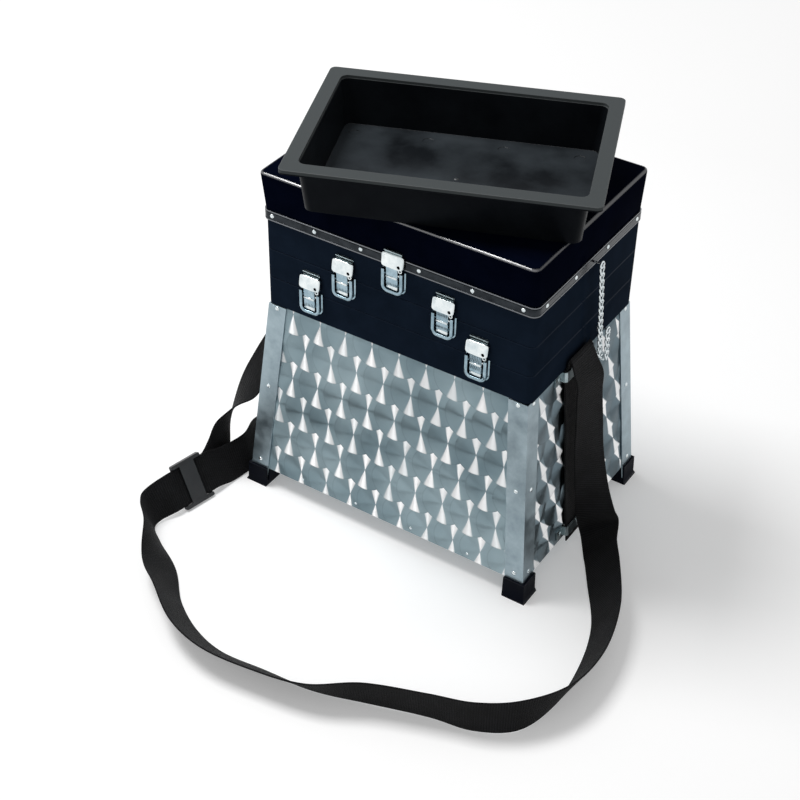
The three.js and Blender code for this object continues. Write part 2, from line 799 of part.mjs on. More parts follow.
function hingeLeaf(seam, face, standFace, direction) {
  const axisY = hingeAxisY(standFace);
  const half = hingeLength / 2;
  const step = hingeLength / hingeKnuckles;
  const z = (reach) => seam + direction * reach;
  const span = (near, far) => [Math.min(z(near), z(far)), Math.max(z(near), z(far))];
  const plate = span(hingeLeafStart, hingeLeafReach);
  const web = span(hingeWebStart, hingeWebEnd);
  const parts = [block(-half, half, face, face + hingeLeafThickness, plate[0], plate[1])];
  const first = direction < 0 ? 0 : 1;
  for (let i = first; i < hingeKnuckles; i += 2) {
    const x0 = -half + i * step + hingeKnuckleGap / 2;
    const x1 = -half + (i + 1) * step - hingeKnuckleGap / 2;
    parts.push(block(x0, x1, face, axisY, web[0], web[1]));
    parts.push(rodX(hingeRadius, x0, x1, axisY, seam, hingeSides));
  }
  const screwHeight = hingeLeafThickness;
  for (const share of hingeScrewShares) {
    const x = share * hingeLength;
    parts.push(domeOut(rivetRadius, screwHeight, x, face + hingeLeafThickness, z(hingeScrewLevel), 90, 0));
  }
  const leaf = joined(parts).trimByPlane([0, 1, 0], face);
  if (direction < 0) {
    const end = half - hingeKnuckleGap;
    return leaf.add(rodX(hingePinRadius, -end, end, axisY, seam, hingeSides));
  }
  const bore = rodX(hingePinRadius + hingePinGap, -half, half, axisY, seam, hingeSides);
  return leaf.subtract(bore);
}

function addHinges() {
  const bandBack = lidBack + bandThickness;
  const list = [
    ['lower', collarTop, stageBack, stageBack],
    ['middle', trayTop, stageBack, stageBack],
    ['lid', lidSeam, stageBack, bandBack],
  ];
  for (const [name, seam, face, standFace] of list) {
    put(rigid, `hinge_${name}_fixed_leaf`, hingeLeaf(seam, face, standFace, -1), 'hinge');
    put(rigid, `hinge_${name}_moving_leaf`, hingeLeaf(seam, standFace, standFace, 1), 'hinge');
  }
}

// Draw latch, drawn about its own reference: x across, y outward from the stage face, z up

function roundedPlate(x0, x1, z0, z1, back, face, radius) {
  return roundedBlock(x0, x1, z0, z1, back, face, radius, 0, 1, latchArcSegments)
    .rotate([90, 0, 0]).translate([0, back + face, 0]);
}

function latchBase() {
  const half = basePlateWidth / 2;
  const sheet = latchSheet;
  const plate = block(-half, half, 0, sheet, basePlateBottom, basePlateTop);
  const parts = [plate];
  for (const side of [-1, 1]) {
    const inner = side * (earOffset - sheet / 2);
    const outer = side * (earOffset + sheet / 2);
    const x0 = Math.min(inner, outer);
    const x1 = Math.max(inner, outer);
    const low = leverPivotLevel - earDrop;
    const foot = block(x0, x1, 0, leverPivotOut, low, basePlateTop);
    const nose = rodX(earReach, x0, x1, leverPivotOut, leverPivotLevel, latchSides);
    const root = block(x0, x1, sheet / 2, leverPivotOut, leverPivotLevel - earReach, leverPivotLevel);
    const end = leverWidth / 2 + pivotGap;
    const tip = side * (end + pivotHead / 2);
    const from = Math.min(inner, tip);
    const to = Math.max(inner, tip);
    const pin = rodX(pivotRadius, from, to, leverPivotOut, leverPivotLevel, latchSides);
    const headFrom = side * end;
    const headTo = side * (end + pivotHead);
    const head = rodX(
      pivotHeadRadius, Math.min(headFrom, headTo), Math.max(headFrom, headTo),
      leverPivotOut, leverPivotLevel, latchSides,
    );
    parts.push(foot, nose, root, pin, head);
    const rivetX = side * half / 2;
    parts.push(dome(latchRivetRadius, latchRivetHeight, latchRivetSides).rotate([90, 0, 0])
      .translate([rivetX, sheet, basePlateBottom + latchRivetRadius * baseRivetShare]));
  }
  return joined(parts).trimByPlane([0, 1, 0], 0);
}

function latchLever() {
  const half = leverWidth / 2;
  const sheet = latchSheet;
  const height = leverTop - leverBottom;
  const back = leverFace - sheet - leverFlangeDepth;
  const body = block(-half, half, back, leverFace, leverBottom, leverTop);
  const round = leverCornerRadius;
  const outline = roundedPlate(-half, half, leverBottom, leverTop + round, back, leverFace, round);
  const inside = half - sheet;
  const low = leverBottom - overrun;
  const high = leverTop + overrun;
  const hollow = block(-inside, inside, back - overrun, leverFace - sheet, low, high);
  const bar = half - leverBar;
  const window = block(-bar, bar, back - overrun, leverFace + overrun, leverBottom + leverLowerBar, high);
  const past = half + overrun;
  const held = half - sheet / 2;
  const bore = rodX(pivotRadius + pivotGap, -past, past, leverPivotOut, leverPivotLevel, latchSides);
  const pin = rodX(pivotRadius, -held, held, hookPivotOut, hookPivotLevel, latchSides);
  const curl = block(-half, half, back, back + sheet, leverBottom, leverBottom + height * leverTongueShare);
  const relief = block(-past, past, back - overrun, leverPivotOut, leverPivotLevel + earReach, high);
  const tongue = curl.subtract(block(-inside, inside, 0, leverFace, low, leverTop));
  return body.intersect(outline).subtract(hollow).subtract(window).subtract(bore).subtract(relief)
    .add(tongue.intersect(outline)).add(pin);
}

function latchHook(step) {
  const half = hookWidth / 2;
  const sheet = latchSheet;
  const curlRadius = pivotRadius + pivotGap + sheet;
  const face = hookPivotOut + curlRadius;
  const past = half + overrun;
  const bore = rodX(pivotRadius + pivotGap, -past, past, hookPivotOut, hookPivotLevel, latchSides);
  const curl = rodX(curlRadius, -half, half, hookPivotOut, hookPivotLevel, latchSides).subtract(bore);
  const plateBack = face - sheet;
  const crown = hoodFace;
  const crownBack = crown - sheet;
  const neck = profileAlongX([
    [plateBack, hookPivotLevel],
    [face, hookPivotLevel],
    [face, hookNeckLevel - sheet],
    [crown, hoodBottom],
    [crown, hoodBottom + sheet],
    [crownBack, hoodBottom + sheet],
    [crownBack, hoodBottom],
    [plateBack, hookNeckLevel],
  ], -half, half);
  const open = hookWindowWidth / 2;
  const window = block(-open, open, 0, leverFace + overrun, hookWindowBottom, hookWindowTop);
  const wide = hoodWidth / 2;
  const back = Math.max(hoodFace - hoodDepth, step + sheet + hoodStepGap);
  const shell = roundedPlate(-wide, wide, hoodBottom, hoodTop, back, hoodFace, hoodRound);
  const inside = wide - sheet;
  const under = hoodTop - sheet;
  const hollow = block(-inside, inside, back - overrun, hoodFace - sheet, hoodBottom - overrun, under);
  const hole = rod(hoodHoleRadius, hoodFace * 2, latchSides)
    .translate([hoodHoleOffset, hoodFace, hoodHoleLevel]);
  const flat = wide - hoodRound;
  const lip = block(-flat, flat, step + hoodInnerGap, hoodFace - sheet, under, hoodTop);
  const ear = dome(hoodEarRadius, hoodEarRadius).translate([inside, hoodFace - hoodEarRadius, hoodBottom]);
  return curl.add(neck.subtract(window)).add(shell.subtract(hollow)).add(lip).add(ear).subtract(hole);
}

function latchKeeper(step) {
  const half = keeperWidth / 2;
  const sheet = latchSheet;
  const plate = block(-half, half, step, step + sheet, keeperBottom, keeperTop);
  const ledgeHalf = keeperLedgeWidth / 2;
  const ledgeTop = hoodTop - sheet - latchPlay;
  const ledgeFace = step + hoodInnerGap - latchPlay;
  const ledge = block(-ledgeHalf, ledgeHalf, step, ledgeFace, ledgeTop - sheet, ledgeTop);
  const lip = block(-half, half, step, step + keeperLipReach, keeperTop - sheet, keeperTop);
  const parts = [plate, ledge, lip];
  for (const side of [-1, 1]) {
    parts.push(dome(latchRivetRadius, latchRivetHeight, latchRivetSides).rotate([90, 0, 0])
      .translate([side * half / 2, step + sheet, keeperBottom + latchRivetRadius * keeperRivetShare]));
  }
  return joined(parts).trimByPlane([0, 1, 0], step);
}

function addLatches() {
  latchPlaces.forEach((place, index) => {
    const number = index + 1;
    const level = place.seam - place.drop;
    const seat = (shape) => shape.mirror([0, 1, 0]).translate([place.x, stageFront, level]);
    put(rigid, `latch_${number}_base`, seat(latchBase()), 'zinc');
    put(rigid, `latch_${number}_lever`, seat(latchLever()), 'zinc');
    put(rigid, `latch_${number}_hook`, seat(latchHook(place.step)), 'zinc');
    put(rigid, `latch_${number}_keeper`, seat(latchKeeper(place.step)), 'zinc');
  });
}

// Strap loops: flat tabs with a raised bridge, drawn with x outward, y along the wall, z up

function strapLoop(level) {
  const openHalf = loopOpening / 2;
  const t = loopThickness;
  const rise = loopRise;
  const front = -openHalf - loopFrontTab;
  const rear = openHalf + loopRearTab;
  const c = loopCorner;
  const outline = [
    [0, front], [t, front], [t, -openHalf - t], [rise - c + t, -openHalf - t], [rise + t, -openHalf - t + c],
    [rise + t, openHalf + t - c], [rise - c + t, openHalf + t], [t, openHalf + t], [t, rear], [0, rear],
    [0, openHalf], [rise - c + t, openHalf], [rise, openHalf - c + t], [rise, -openHalf + c - t],
    [rise - c + t, -openHalf], [0, -openHalf],
  ];
  const shape = new THREE.Shape(outline.map(([x, y]) => new THREE.Vector2(x, y)));
  const geometry = new THREE.ExtrudeGeometry(shape, { depth: loopHeight, bevelEnabled: false });
  geometry.translate(0, 0, -loopHeight / 2);
  const parts = [solid(geometry)];
  const frontMiddle = -openHalf - loopFrontTab / 2;
  const rearMiddle = openHalf + loopRearTab / 2;
  for (const y of [frontMiddle, rearMiddle]) {
    parts.push(domeOut(loopRivetRadius, rivetHeight, t, y, 0, 0, 90));
  }
  const seat = bodyOutline(level, panelInset - fitGap).x1;
  const piece = joined(parts).trimByPlane([1, 0, 0], 0);
  return piece.rotate([0, -sideSlope, 0]).translate([seat, strapCentre, level]);
}

function addLoops() {
  for (const [place, level] of [['upper', upperLoopLevel], ['lower', lowerLoopLevel]]) {
    put(rigid, `strap_loop_${place}_right`, strapLoop(level), 'zinc');
    put(rigid, `strap_loop_${place}_left`, strapLoop(level).mirror([1, 0, 0]), 'zinc');
  }
}

// Lid chain: straight runs of twisted oval links, drawn downward from the stud

function chainLink(level) {
  const wire = wireRadius * 2;
  const length = linkPitch + 2 * wire - linkBite;
  const ring = (linkWidth - wire) / 2;
  const stretch = (length - linkWidth) / 2;
  const geometry = new THREE.TorusGeometry(ring, wireRadius, linkTubeSides, linkArcSides);
  const at = geometry.attributes.position;
  for (let i = 0; i < at.count; i += 1) {
    const along = at.getY(i) + Math.sign(Math.round(at.getY(i) / wireRadius)) * stretch;
    const turn = (along / (length / 2)) * linkTwist;
    const across = at.getX(i);
    const out = at.getZ(i);
    at.setXYZ(
      i,
      across * Math.sin(turn) + out * Math.cos(turn),
      across * Math.cos(turn) - out * Math.sin(turn),
      along + level,
    );
  }
  return solid(geometry);
}

function chainRun(links, withRing) {
  const wire = wireRadius * 2;
  const parts = [];
  let start = 0;
  if (withRing) {
    const drop = ringRadius - wireRadius - studRadius - chainPlay;
    const ring = solid(new THREE.TorusGeometry(ringRadius, wireRadius, linkTubeSides, linkArcSides))
      .rotate([0, 90, 0]).translate([0, 0, -drop]);
    parts.push(ring);
    start = drop + ringRadius + wireRadius - linkBite;
  }
  const first = start + linkPitch / 2 - wire / 2;
  for (let i = 0; i < links; i += 1) {
    parts.push(chainLink(-first - i * linkPitch));
  }
  return { shape: joined(parts), length: first + (links - 0.5) * linkPitch };
}

function alongAngle(length, angle) {
  return { y: length * Math.sin(angle * degrees), z: -length * Math.cos(angle * degrees) };
}

function addChain() {
  const upper = chainRun(upperLinks, true);
  const lower = chainRun(lowerLinks, true);
  const middle = chainRun(middleLinks, false);
  const upperEnd = alongAngle(upper.length, upperLean);
  const lowerEnd = alongAngle(lower.length, lowerLean);
  const bend = { y: baseStudY + lowerEnd.y, z: baseStudLevel + lowerEnd.z };
  const meet = { y: lidStudY + upperEnd.y, z: lidStudLevel + upperEnd.z };
  const middleAngle = Math.atan2(meet.y - bend.y, -(meet.z - bend.z)) / degrees;
  const hang = (run, angle, x, y, z) => run.shape.rotate([angle, 0, 0]).translate([x, y, z]);
  put(rigid, 'chain_upper', hang(upper, upperLean, chainOuter, lidStudY, lidStudLevel), 'chain');
  put(rigid, 'chain_middle', hang(middle, middleAngle, chainInner, bend.y, bend.z), 'chain');
  const seat = stageHalfWidth + studPlate;
  const plate = rodX(studPlateRadius, stageHalfWidth, seat, baseStudY, baseStudLevel, rivetSides);
  const post = stud(stageHalfWidth + studPlate / 2, chainOuter, baseStudY, baseStudLevel);
  put(rigid, 'chain_stud', plate.add(post), 'zinc');
  put(rigid, 'chain_lower', hang(lower, lowerLean, chainOuter, baseStudY, baseStudLevel), 'chain');
}

// Bait tray: tapered tub with a flat rim, a turned-down edge and moulding marks

function baitTray() {
  const rect = (width, depth) => ({ x0: -width / 2, x1: width / 2, y0: -depth / 2, y1: depth / 2 });
  const grown = (r, by) => ({ x0: r.x0 - by, x1: r.x1 + by, y0: r.y0 - by, y1: r.y1 + by });
  const mouth = rect(baitMouthWidth, baitMouthDepth);
  const floor = rect(baitFloorWidth, baitFloorDepth);
  const rim = rect(baitRimWidth, baitRimDepth);
  const radius = baitInnerRadius;
  const rimLow = baitHeight - baitRimThickness;
  const rimInside = rimLow + baitRimThickness / 4;
  const skirtLow = rimLow - baitRimLip;
  const tub = radius + baitWall;
  const outer = loftedBlock(grown(floor, baitWall), grown(mouth, baitWall), 0, baitHeight, tub);
  const inner = loftedBlock(floor, mouth, baitWall, baitHeight, radius);
  const cut = loftedBlock(mouth, mouth, rimLow - overrun, baitHeight + overrun, radius);
  const edge = baitRimThickness * baitRimChamferShare;
  const plate = roundedBlock(rim.x0, rim.x1, rim.y0, rim.y1, rimLow, baitHeight, baitRimRadius, edge);
  const skirt = roundedBlock(rim.x0, rim.x1, rim.y0, rim.y1, skirtLow, rimInside, baitRimRadius);
  const bore = grown(rim, -baitWall);
  const skirtRoom = roundedBlock(
    bore.x0, bore.x1, bore.y0, bore.y1, skirtLow - overrun, rimLow, baitRimRadius - baitWall,
  );
  const throat = loftedBlock(mouth, mouth, skirtLow - overrun, rimInside, radius);
  const ring = skirt.subtract(skirtRoom).add(plate).subtract(throat);
  const shell = outer.add(ring).subtract(inner).subtract(cut);
  const marks = [];
  for (const x of ejectorXs) {
    for (const side of [-1, 1]) {
      const z = baitWall - ejectorDepth + overrun / 2;
      const mark = rod(ejectorRadius, overrun, markSides).rotate([90, 0, 0]);
      marks.push(mark.translate([x, side * ejectorY, z]));
    }
  }
  const gate = dome(gateRadius, ejectorDepth * 2).translate([0, 0, baitWall]);
  return shell.subtract(joined(marks)).add(gate);
}

function addBaitTray() {
  const node = put(rigid, 'bait_tray', baitTray(), 'tray');
  node.position.set(baitX, baitY, lidTop);
  node.rotation.z = baitTurn * degrees;
}

// Webbing: a flat bar bent along stations, each a lower-edge point and a lean of the other edge

function smooth(points) {
  const stations = points.map((p) => new THREE.Vector3(...p));
  return new THREE.CatmullRomCurve3(stations, false, 'centripetal');
}

function ribbon(edge, other, segments) {
  const near = smooth(edge);
  const far = smooth(other);
  const geometry = new THREE.BoxGeometry(1, 1, 1, segments, 1, 1);
  const at = geometry.attributes.position;
  const frames = [];
  for (let i = 0; i <= segments; i += 1) {
    const share = i / segments;
    const a = near.getPoint(share);
    const across = far.getPoint(share).sub(a);
    const width = across.clone().normalize().multiplyScalar(strapWidth);
    const centre = a.clone().addScaledVector(across, 0.5);
    const nextShare = Math.min(1, share + tangentShare);
    const lastShare = Math.max(0, share - tangentShare);
    const ahead = near.getPoint(nextShare).add(far.getPoint(nextShare));
    const behind = near.getPoint(lastShare).add(far.getPoint(lastShare));
    const normal = ahead.sub(behind).cross(width).normalize();
    const drop = Math.abs(width.z) / 2 + (Math.abs(normal.z) * strapThickness) / 2;
    centre.z = Math.max(centre.z, drop + groundClear);
    frames.push({ centre, width, normal });
  }
  for (let i = 0; i < at.count; i += 1) {
    const frame = frames[Math.round((at.getX(i) + 0.5) * segments)];
    const point = frame.centre.clone()
      .addScaledVector(frame.width, at.getY(i))
      .addScaledVector(frame.normal, at.getZ(i) * strapThickness);
    at.setXYZ(i, point.x, point.y, point.z);
  }
  return solid(geometry);
}

function sliderPair(along, out) {
  const t = new THREE.Vector3(...sliderAlong).normalize();
  const w = new THREE.Vector3(...sliderLean).normalize();
  const n = t.clone().cross(w).normalize();
  const middle = new THREE.Vector3(...sliderCentre).addScaledVector(t, along).addScaledVector(n, out);
  const low = middle.clone().addScaledVector(w, -strapWidth / 2);
  const high = middle.clone().addScaledVector(w, strapWidth / 2);
  return [low.toArray(), high.toArray()];
}

function sliderEntry(direction, stack) {
  const reach = sliderLength / 2;
  const over = sliderThickness / 2 + strapThickness / 2 + stack;
  const under = sliderRise - sliderThickness / 2 - strapThickness / 2 - fitGap;
  return [
    sliderPair(direction * (reach + sliderBar / 2), over),
    sliderPair(direction * reach, over),
    sliderPair(direction * (reach - sliderEdgeBar), over),
    sliderPair(direction * (sliderBar / 2 + fitGap), under),
    sliderPair(direction * sliderBar / 4, under),
    sliderPair(direction * fitGap * 4, under),
  ];
}

function slider() {
  const half = sliderWidth / 2;
  const reach = sliderLength / 2;
  const t = sliderThickness / 2;
  const top = sliderRise + t;
  const parts = [];
  for (const side of [-1, 1]) {
    const railIn = side * (half - sliderRail);
    const rail = [Math.min(railIn, side * half), Math.max(railIn, side * half)];
    parts.push(roundedBlock(-reach, reach, rail[0], rail[1], -t, top, sliderRail / 3));
    const barIn = side * (reach - sliderEdgeBar);
    const bar = [Math.min(barIn, side * reach), Math.max(barIn, side * reach)];
    parts.push(roundedBlock(bar[0], bar[1], -half + t, half - t, -t, t, sliderEdgeBar / 4));
  }
  parts.push(roundedBlock(-sliderBar / 2, sliderBar / 2, -half + t, half - t, sliderRise - t, top, t));
  return joined(parts);
}

function addWebbing() {
  const down = (side) => {
    const wall = (z, gap) => bodyOutline(z, panelInset).x1 + gap;
    const face = stageHalfWidth;
    const route = [
      [wall(wallTailLevel, loopClear), wallTailLevel],
      [wall(lowerLoopLevel, loopClear), lowerLoopLevel],
      ...wallRestLevels.map((z) => [wall(z, wallClear), z]),
      [wall(upperLoopLevel, loopClear), upperLoopLevel],
      [face + loopClear + loopExitGap, upperLoopLevel + loopExitRise],
      [crestOut, crestLevel],
      [wallEndOut, wallEndLevel],
    ];
    return route.map(([x, z]) => [
      [side * x, strapCentre - strapWidth / 2, z],
      [side * x, strapCentre + strapWidth / 2, z],
    ]);
  };
  const lay = (name, route, segments) => {
    const shape = ribbon(route.map((pair) => pair[0]), route.map((pair) => pair[1]), segments);
    put(soft, name, shape, 'webbing');
  };
  lay('strap_shoulder', [...shoulderRoute, ...sliderEntry(-1, fitGap)], shoulderSegments);
  lay('strap_branch_lower', [...sliderEntry(1, fitGap).reverse(), ...lowerBranchRoute], branchSegments);
  const behind = (sliderThickness - strapThickness) / 2 - fitGap;
  const edge = sliderLength / 2;
  const doubled = [sliderPair(edge + 2 * fitGap, behind), sliderPair(edge + sliderBar / 4, behind)];
  lay('strap_branch_upper', [...doubled, ...upperBranchRoute], branchSegments);
  lay('strap_wall_right', down(1), wallSegments);
  lay('strap_wall_left', down(-1), wallSegments);
  const t = new THREE.Vector3(...sliderAlong).normalize();
  const w = new THREE.Vector3(...sliderLean).normalize();
  const n = t.clone().cross(w).normalize();
  const frame = new THREE.Matrix4().makeBasis(t, n.clone().cross(t), n);
  const node = put(soft, 'strap_slider', slider(), 'rubber');
  node.quaternion.setFromRotationMatrix(frame);
  node.position.set(...sliderCentre);
}

const box = new THREE.Box3();

addPanels();
addCorners();
put(rigid, 'bin_floor', binFloor(), 'angle');
put(rigid, 'base_collar', collar(), 'gloss');
put(rigid, 'tray_lower', stageTray(collarTop, trayTop, lowerDividerShares, lowerSplitShare), 'gloss');
put(rigid, 'tray_upper', stageTray(trayTop, lidSeam, upperDividerShares, upperSplitShare), 'gloss');
put(rigid, 'lid_shell', lidShell(), 'gloss');
put(rigid, 'lid_band', lidBand(), 'band');
addHinges();
addLatches();
addLoops();
addChain();
addBaitTray();
addWebbing();

rigid.updateMatrixWorld(true);
box.setFromObject(rigid);
const centre = box.getCenter(new THREE.Vector3());
const group = new THREE.Group();
group.name = 'fishing_seat_box';
group.add(rigid, soft);
group.position.set(-centre.x, -centre.y, -box.min.z);

export default group;
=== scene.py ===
"""Fishing seat box: webbing, chain, rivets, latches, materials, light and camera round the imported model.

Everything is in metres, +Z up, and the latches face -Y. Drawing sizes are millimetres about the
middle of the box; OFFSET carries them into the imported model's frame.
"""

import math

import bmesh
import bpy
import numpy as np
from mathutils import Matrix, Vector


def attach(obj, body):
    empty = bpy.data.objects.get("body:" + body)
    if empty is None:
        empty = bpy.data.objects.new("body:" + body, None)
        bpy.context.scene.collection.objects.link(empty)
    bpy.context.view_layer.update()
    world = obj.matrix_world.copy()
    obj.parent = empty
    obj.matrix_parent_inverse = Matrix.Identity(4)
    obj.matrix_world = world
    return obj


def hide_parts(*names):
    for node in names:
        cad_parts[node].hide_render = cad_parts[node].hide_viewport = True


MM = 0.001
OFFSET = np.array([-6.631136, 19.7, 0.0])

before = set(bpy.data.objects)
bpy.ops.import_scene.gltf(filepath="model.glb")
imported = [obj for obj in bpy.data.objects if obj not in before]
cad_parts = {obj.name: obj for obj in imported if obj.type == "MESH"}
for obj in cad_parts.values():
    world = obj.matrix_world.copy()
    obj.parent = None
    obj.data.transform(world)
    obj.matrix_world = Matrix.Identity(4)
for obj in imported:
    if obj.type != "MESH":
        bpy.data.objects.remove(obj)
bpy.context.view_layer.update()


def packed(points):
    """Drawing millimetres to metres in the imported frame: add the offset, then times 0.001."""
    return (np.asarray(points, float) + OFFSET) * MM


def unit(vectors):
    """Each vector divided by its own length."""
    return vectors / np.linalg.norm(vectors, axis=-1, keepdims=True)


# Camera at the photograph's angle

CAMERA_PLACE = (0.80327, -1.357, 1.3742)
CAMERA_TARGET = (-0.03147, -0.04501, 0.15383)
CAMERA_ROLL = math.radians(1.12)
CAMERA_LENS = 73.645
CAMERA_SENSOR = 36


def make_camera():
    """A camera whose back points from the target to its place, rolled about its own line of sight."""
    back = (Vector(CAMERA_PLACE) - Vector(CAMERA_TARGET)).normalized()
    right = Vector((0, 0, 1)).cross(back).normalized()
    up = back.cross(right)
    side = right * math.cos(CAMERA_ROLL) + up * math.sin(CAMERA_ROLL)
    head = up * math.cos(CAMERA_ROLL) - right * math.sin(CAMERA_ROLL)
    data = bpy.data.cameras.new("photo_camera")
    data.lens = CAMERA_LENS
    data.sensor_width = CAMERA_SENSOR
    data.clip_start = 0.05
    data.clip_end = 50
    camera = bpy.data.objects.new("photo_camera", data)
    turn = Matrix((side, head, back)).transposed().to_4x4()
    camera.matrix_world = Matrix.Translation(CAMERA_PLACE) @ turn
    bpy.context.collection.objects.link(camera)
    bpy.context.scene.camera = camera


make_camera()


# Mesh making

def piece(name, grids, weave=None):
    """One mesh of several point grids (rows, columns, 3): each cell of a grid is a quad, the columns
    join round, the rows join round where the grid says so, and open ends get a cap. A third entry
    is the grid's material slot."""
    points, faces, slots, start = [], [], [], 0
    for grid, ring, *slot in grids:
        rows, columns = grid.shape[:2]
        index = np.arange(rows * columns).reshape(rows, columns) + start
        down = np.roll(index, -1, axis=0) if ring else index[1:]
        here = index if ring else index[:-1]
        quads = np.stack([here, np.roll(here, -1, 1), np.roll(down, -1, 1), down], axis=-1)
        faces.extend(quads.reshape(-1, 4).tolist())
        if not ring:
            faces.append(index[0][::-1].tolist())
            faces.append(index[-1].tolist())
        points.append(grid.reshape(-1, 3))
        slots.extend([slot[0] if slot else 0] * (len(faces) - len(slots)))
        start += rows * columns
    points = np.concatenate(points)
    mesh = bpy.data.meshes.new(name)
    mesh.from_pydata(points.tolist(), [], faces)
    mesh.polygons.foreach_set("use_smooth", [len(face) == 4 for face in faces])
    mesh.polygons.foreach_set("material_index", slots)
    if weave is not None:
        mesh.attributes.new("weave", "FLOAT_VECTOR", "POINT").data.foreach_set("vector", weave.ravel())
    form = bmesh.new()
    form.from_mesh(mesh)
    bmesh.ops.recalc_face_normals(form, faces=form.faces)
    form.to_mesh(mesh)
    form.free()
    made = bpy.data.objects.new(name, mesh)
    bpy.context.collection.objects.link(made)
    return made


def sweep(path, side, out, section):
    """A section carried along a path: each station plus its side and out directions times the section's
    two numbers."""
    return path[:, None] + side[:, None] * section[:, :1] + out[:, None] * section[:, 1:]


def around(count):
    """So many equal steps of one full turn, the last one short of the first."""
    return np.linspace(0, 2 * math.pi, count, endpoint=False)


def superellipse(half_wide, half_tall, power, count):
    """Half width times signed cos^power and half height times signed sin^power, round one full turn."""
    c, s = np.cos(around(count)), np.sin(around(count))
    return half_wide * np.sign(c) * np.abs(c) ** power, half_tall * np.sign(s) * np.abs(s) ** power


def flat_ways(count):
    """The across and the outward direction of a latch, once for each station of a path."""
    return np.tile([1.0, 0.0, 0.0], (count, 1)), np.tile([0.0, 1.0, 0.0], (count, 1))


def dome(radius, height, place, outward):
    """A rivet head: rings of radius * cos and height * sin of one quarter turn, about an outward line."""
    outward = unit(np.array(outward, float))
    first = unit(np.cross(outward, [0.3, 0.4, 0.87]))
    second = np.cross(outward, first)
    rise = np.linspace(-0.1, 1.5, 6)[:, None, None]
    turn = around(14)[None, :, None]
    ring = np.cos(rise) * (np.cos(turn) * first + np.sin(turn) * second)
    return np.array(place, float) + radius * ring + height * np.sin(rise) * outward


# Webbing: 50 mm wide and 1.8 mm thick, each station the two edges of the strap

STRAP_WIDTH = 50
STRAP_THICKNESS = 1.8
STRAP_MIDDLE = -15
GROUND_CLEAR = 0.3
SELVEDGE_RISE = 0.14
SELVEDGE_INSET = 2.2
SELVEDGE_SPREAD = 1.3
SECTION_OFFSETS = np.array([0, 0.25, 0.9, 2.2, 3.6, 5, 12, 19, 25])
STATION_SPACING = 3.5
BEND_WEIGHT = 8
FINE_STATIONS = 6000
SHOULDER = [
    [[190, -40, 267], [194, 10, 265]],
    [[194, -38, 250], [202, 12, 247]],
    [[196, -39, 228], [204, 9, 224]],
    [[198, -39, 195], [209, 8, 186]],
    [[200, -39, 154], [216, 5, 141]],
    [[203, -36, 108], [229, 3, 92]],
    [[205, -27, 60], [240, 5, 55]],
    [[209, -16, 18], [245, 9, 38]],
    [[226, -37, 1.2], [256, -15, 34]],
    [[249, -72, 1.2], [279, -52, 36]],
    [[287, -133, 1.2], [314, -121, 41]],
    [[305, -199, 1.2], [332, -196, 43]],
    [[308, -262, 1.2], [326, -263, 47]],
    [[292, -315, 1.2], [294, -316, 51]],
    [[253, -341, 1.2], [254, -345, 51]],
    [[205, -351, 1.2], [207, -361, 50]],
    [[135, -373, 1.2], [139, -387, 49]],
    [[75, -391, 1.2], [85, -418, 42]],
    [[14, -397, 1.2], [18, -431, 38]],
    [[-45, -402, 1.2], [-48, -435, 38]],
    [[-88, -391, 1.2], [-101, -421, 39]],
    [[-131, -366, 1.2], [-152, -388, 41]],
    [[-170, -328, 1.2], [-194, -358, 33]],
    [[-217, -301, 1.2], [-226, -315, 48]],
    [[-240, -284, 1.5], [-248, -295, 49]],
    [[-241, -270, 3], [-257, -280, 48]],
]
LOWER_BRANCH = [
    [[-214, -160, 2.4], [-233, -158, 46]],
    [[-209, -125, 1.4], [-224, -122, 48]],
    [[-208, -90, 1.2], [-240, -80, 38]],
    [[-209, -60, 1.5], [-247, -30, 12]],
    [[-210, -44, 3], [-238, -3, 4]],
    [[-206, -38, 8], [-210, 12, 7]],
    [[-200.8, -37, 20], [-200.8, 13, 20]],
]
UPPER_BRANCH = [
    [[-229, -160, 11], [-247, -163, 54]],
    [[-237, -136, 32], [-243, -152, 76]],
    [[-251, -113, 58], [-229, -137, 96]],
    [[-240, -78, 135], [-205, -107, 118]],
    [[-226, -32, 186], [-203, -76, 176]],
    [[-209, -4, 230], [-197, -51, 222]],
    [[-197, 10, 264], [-192, -40, 262]],
]
WALL = [
    [200.69, 21], [199.1, 38.5], [196.16, 62], [188.15, 150], [182.69, 210], [179.96, 240],
    [178.76, 262], [180.5, 272], [182.6, 284.2], [186.4, 280.4], [186.7, 278.8],
]
SLIDER_MIDDLE = np.array([-237.3, -213, 27.6])
SLIDER_ALONG = unit(np.array([0.2, 0.98, 0]))
SLIDER_LEAN = unit(np.array([-0.45, 0.09, 0.885]))
SLIDER_LENGTH = 44
SLIDER_THICKNESS = 2.6
SLIDER_BAR = 22
SLIDER_EDGE_BAR = 5
SLIDER_RISE = 3.2
BRANCH_OUT = 0.1
FIT_GAP = 0.3


def slider_pair(along, out):
    """The strap's two edges at a place on the adjuster: so far along it and so far out of its plane."""
    out_of = unit(np.cross(SLIDER_ALONG, SLIDER_LEAN))
    middle = SLIDER_MIDDLE + SLIDER_ALONG * along + out_of * out
    return [middle - SLIDER_LEAN * STRAP_WIDTH / 2, middle + SLIDER_LEAN * STRAP_WIDTH / 2]


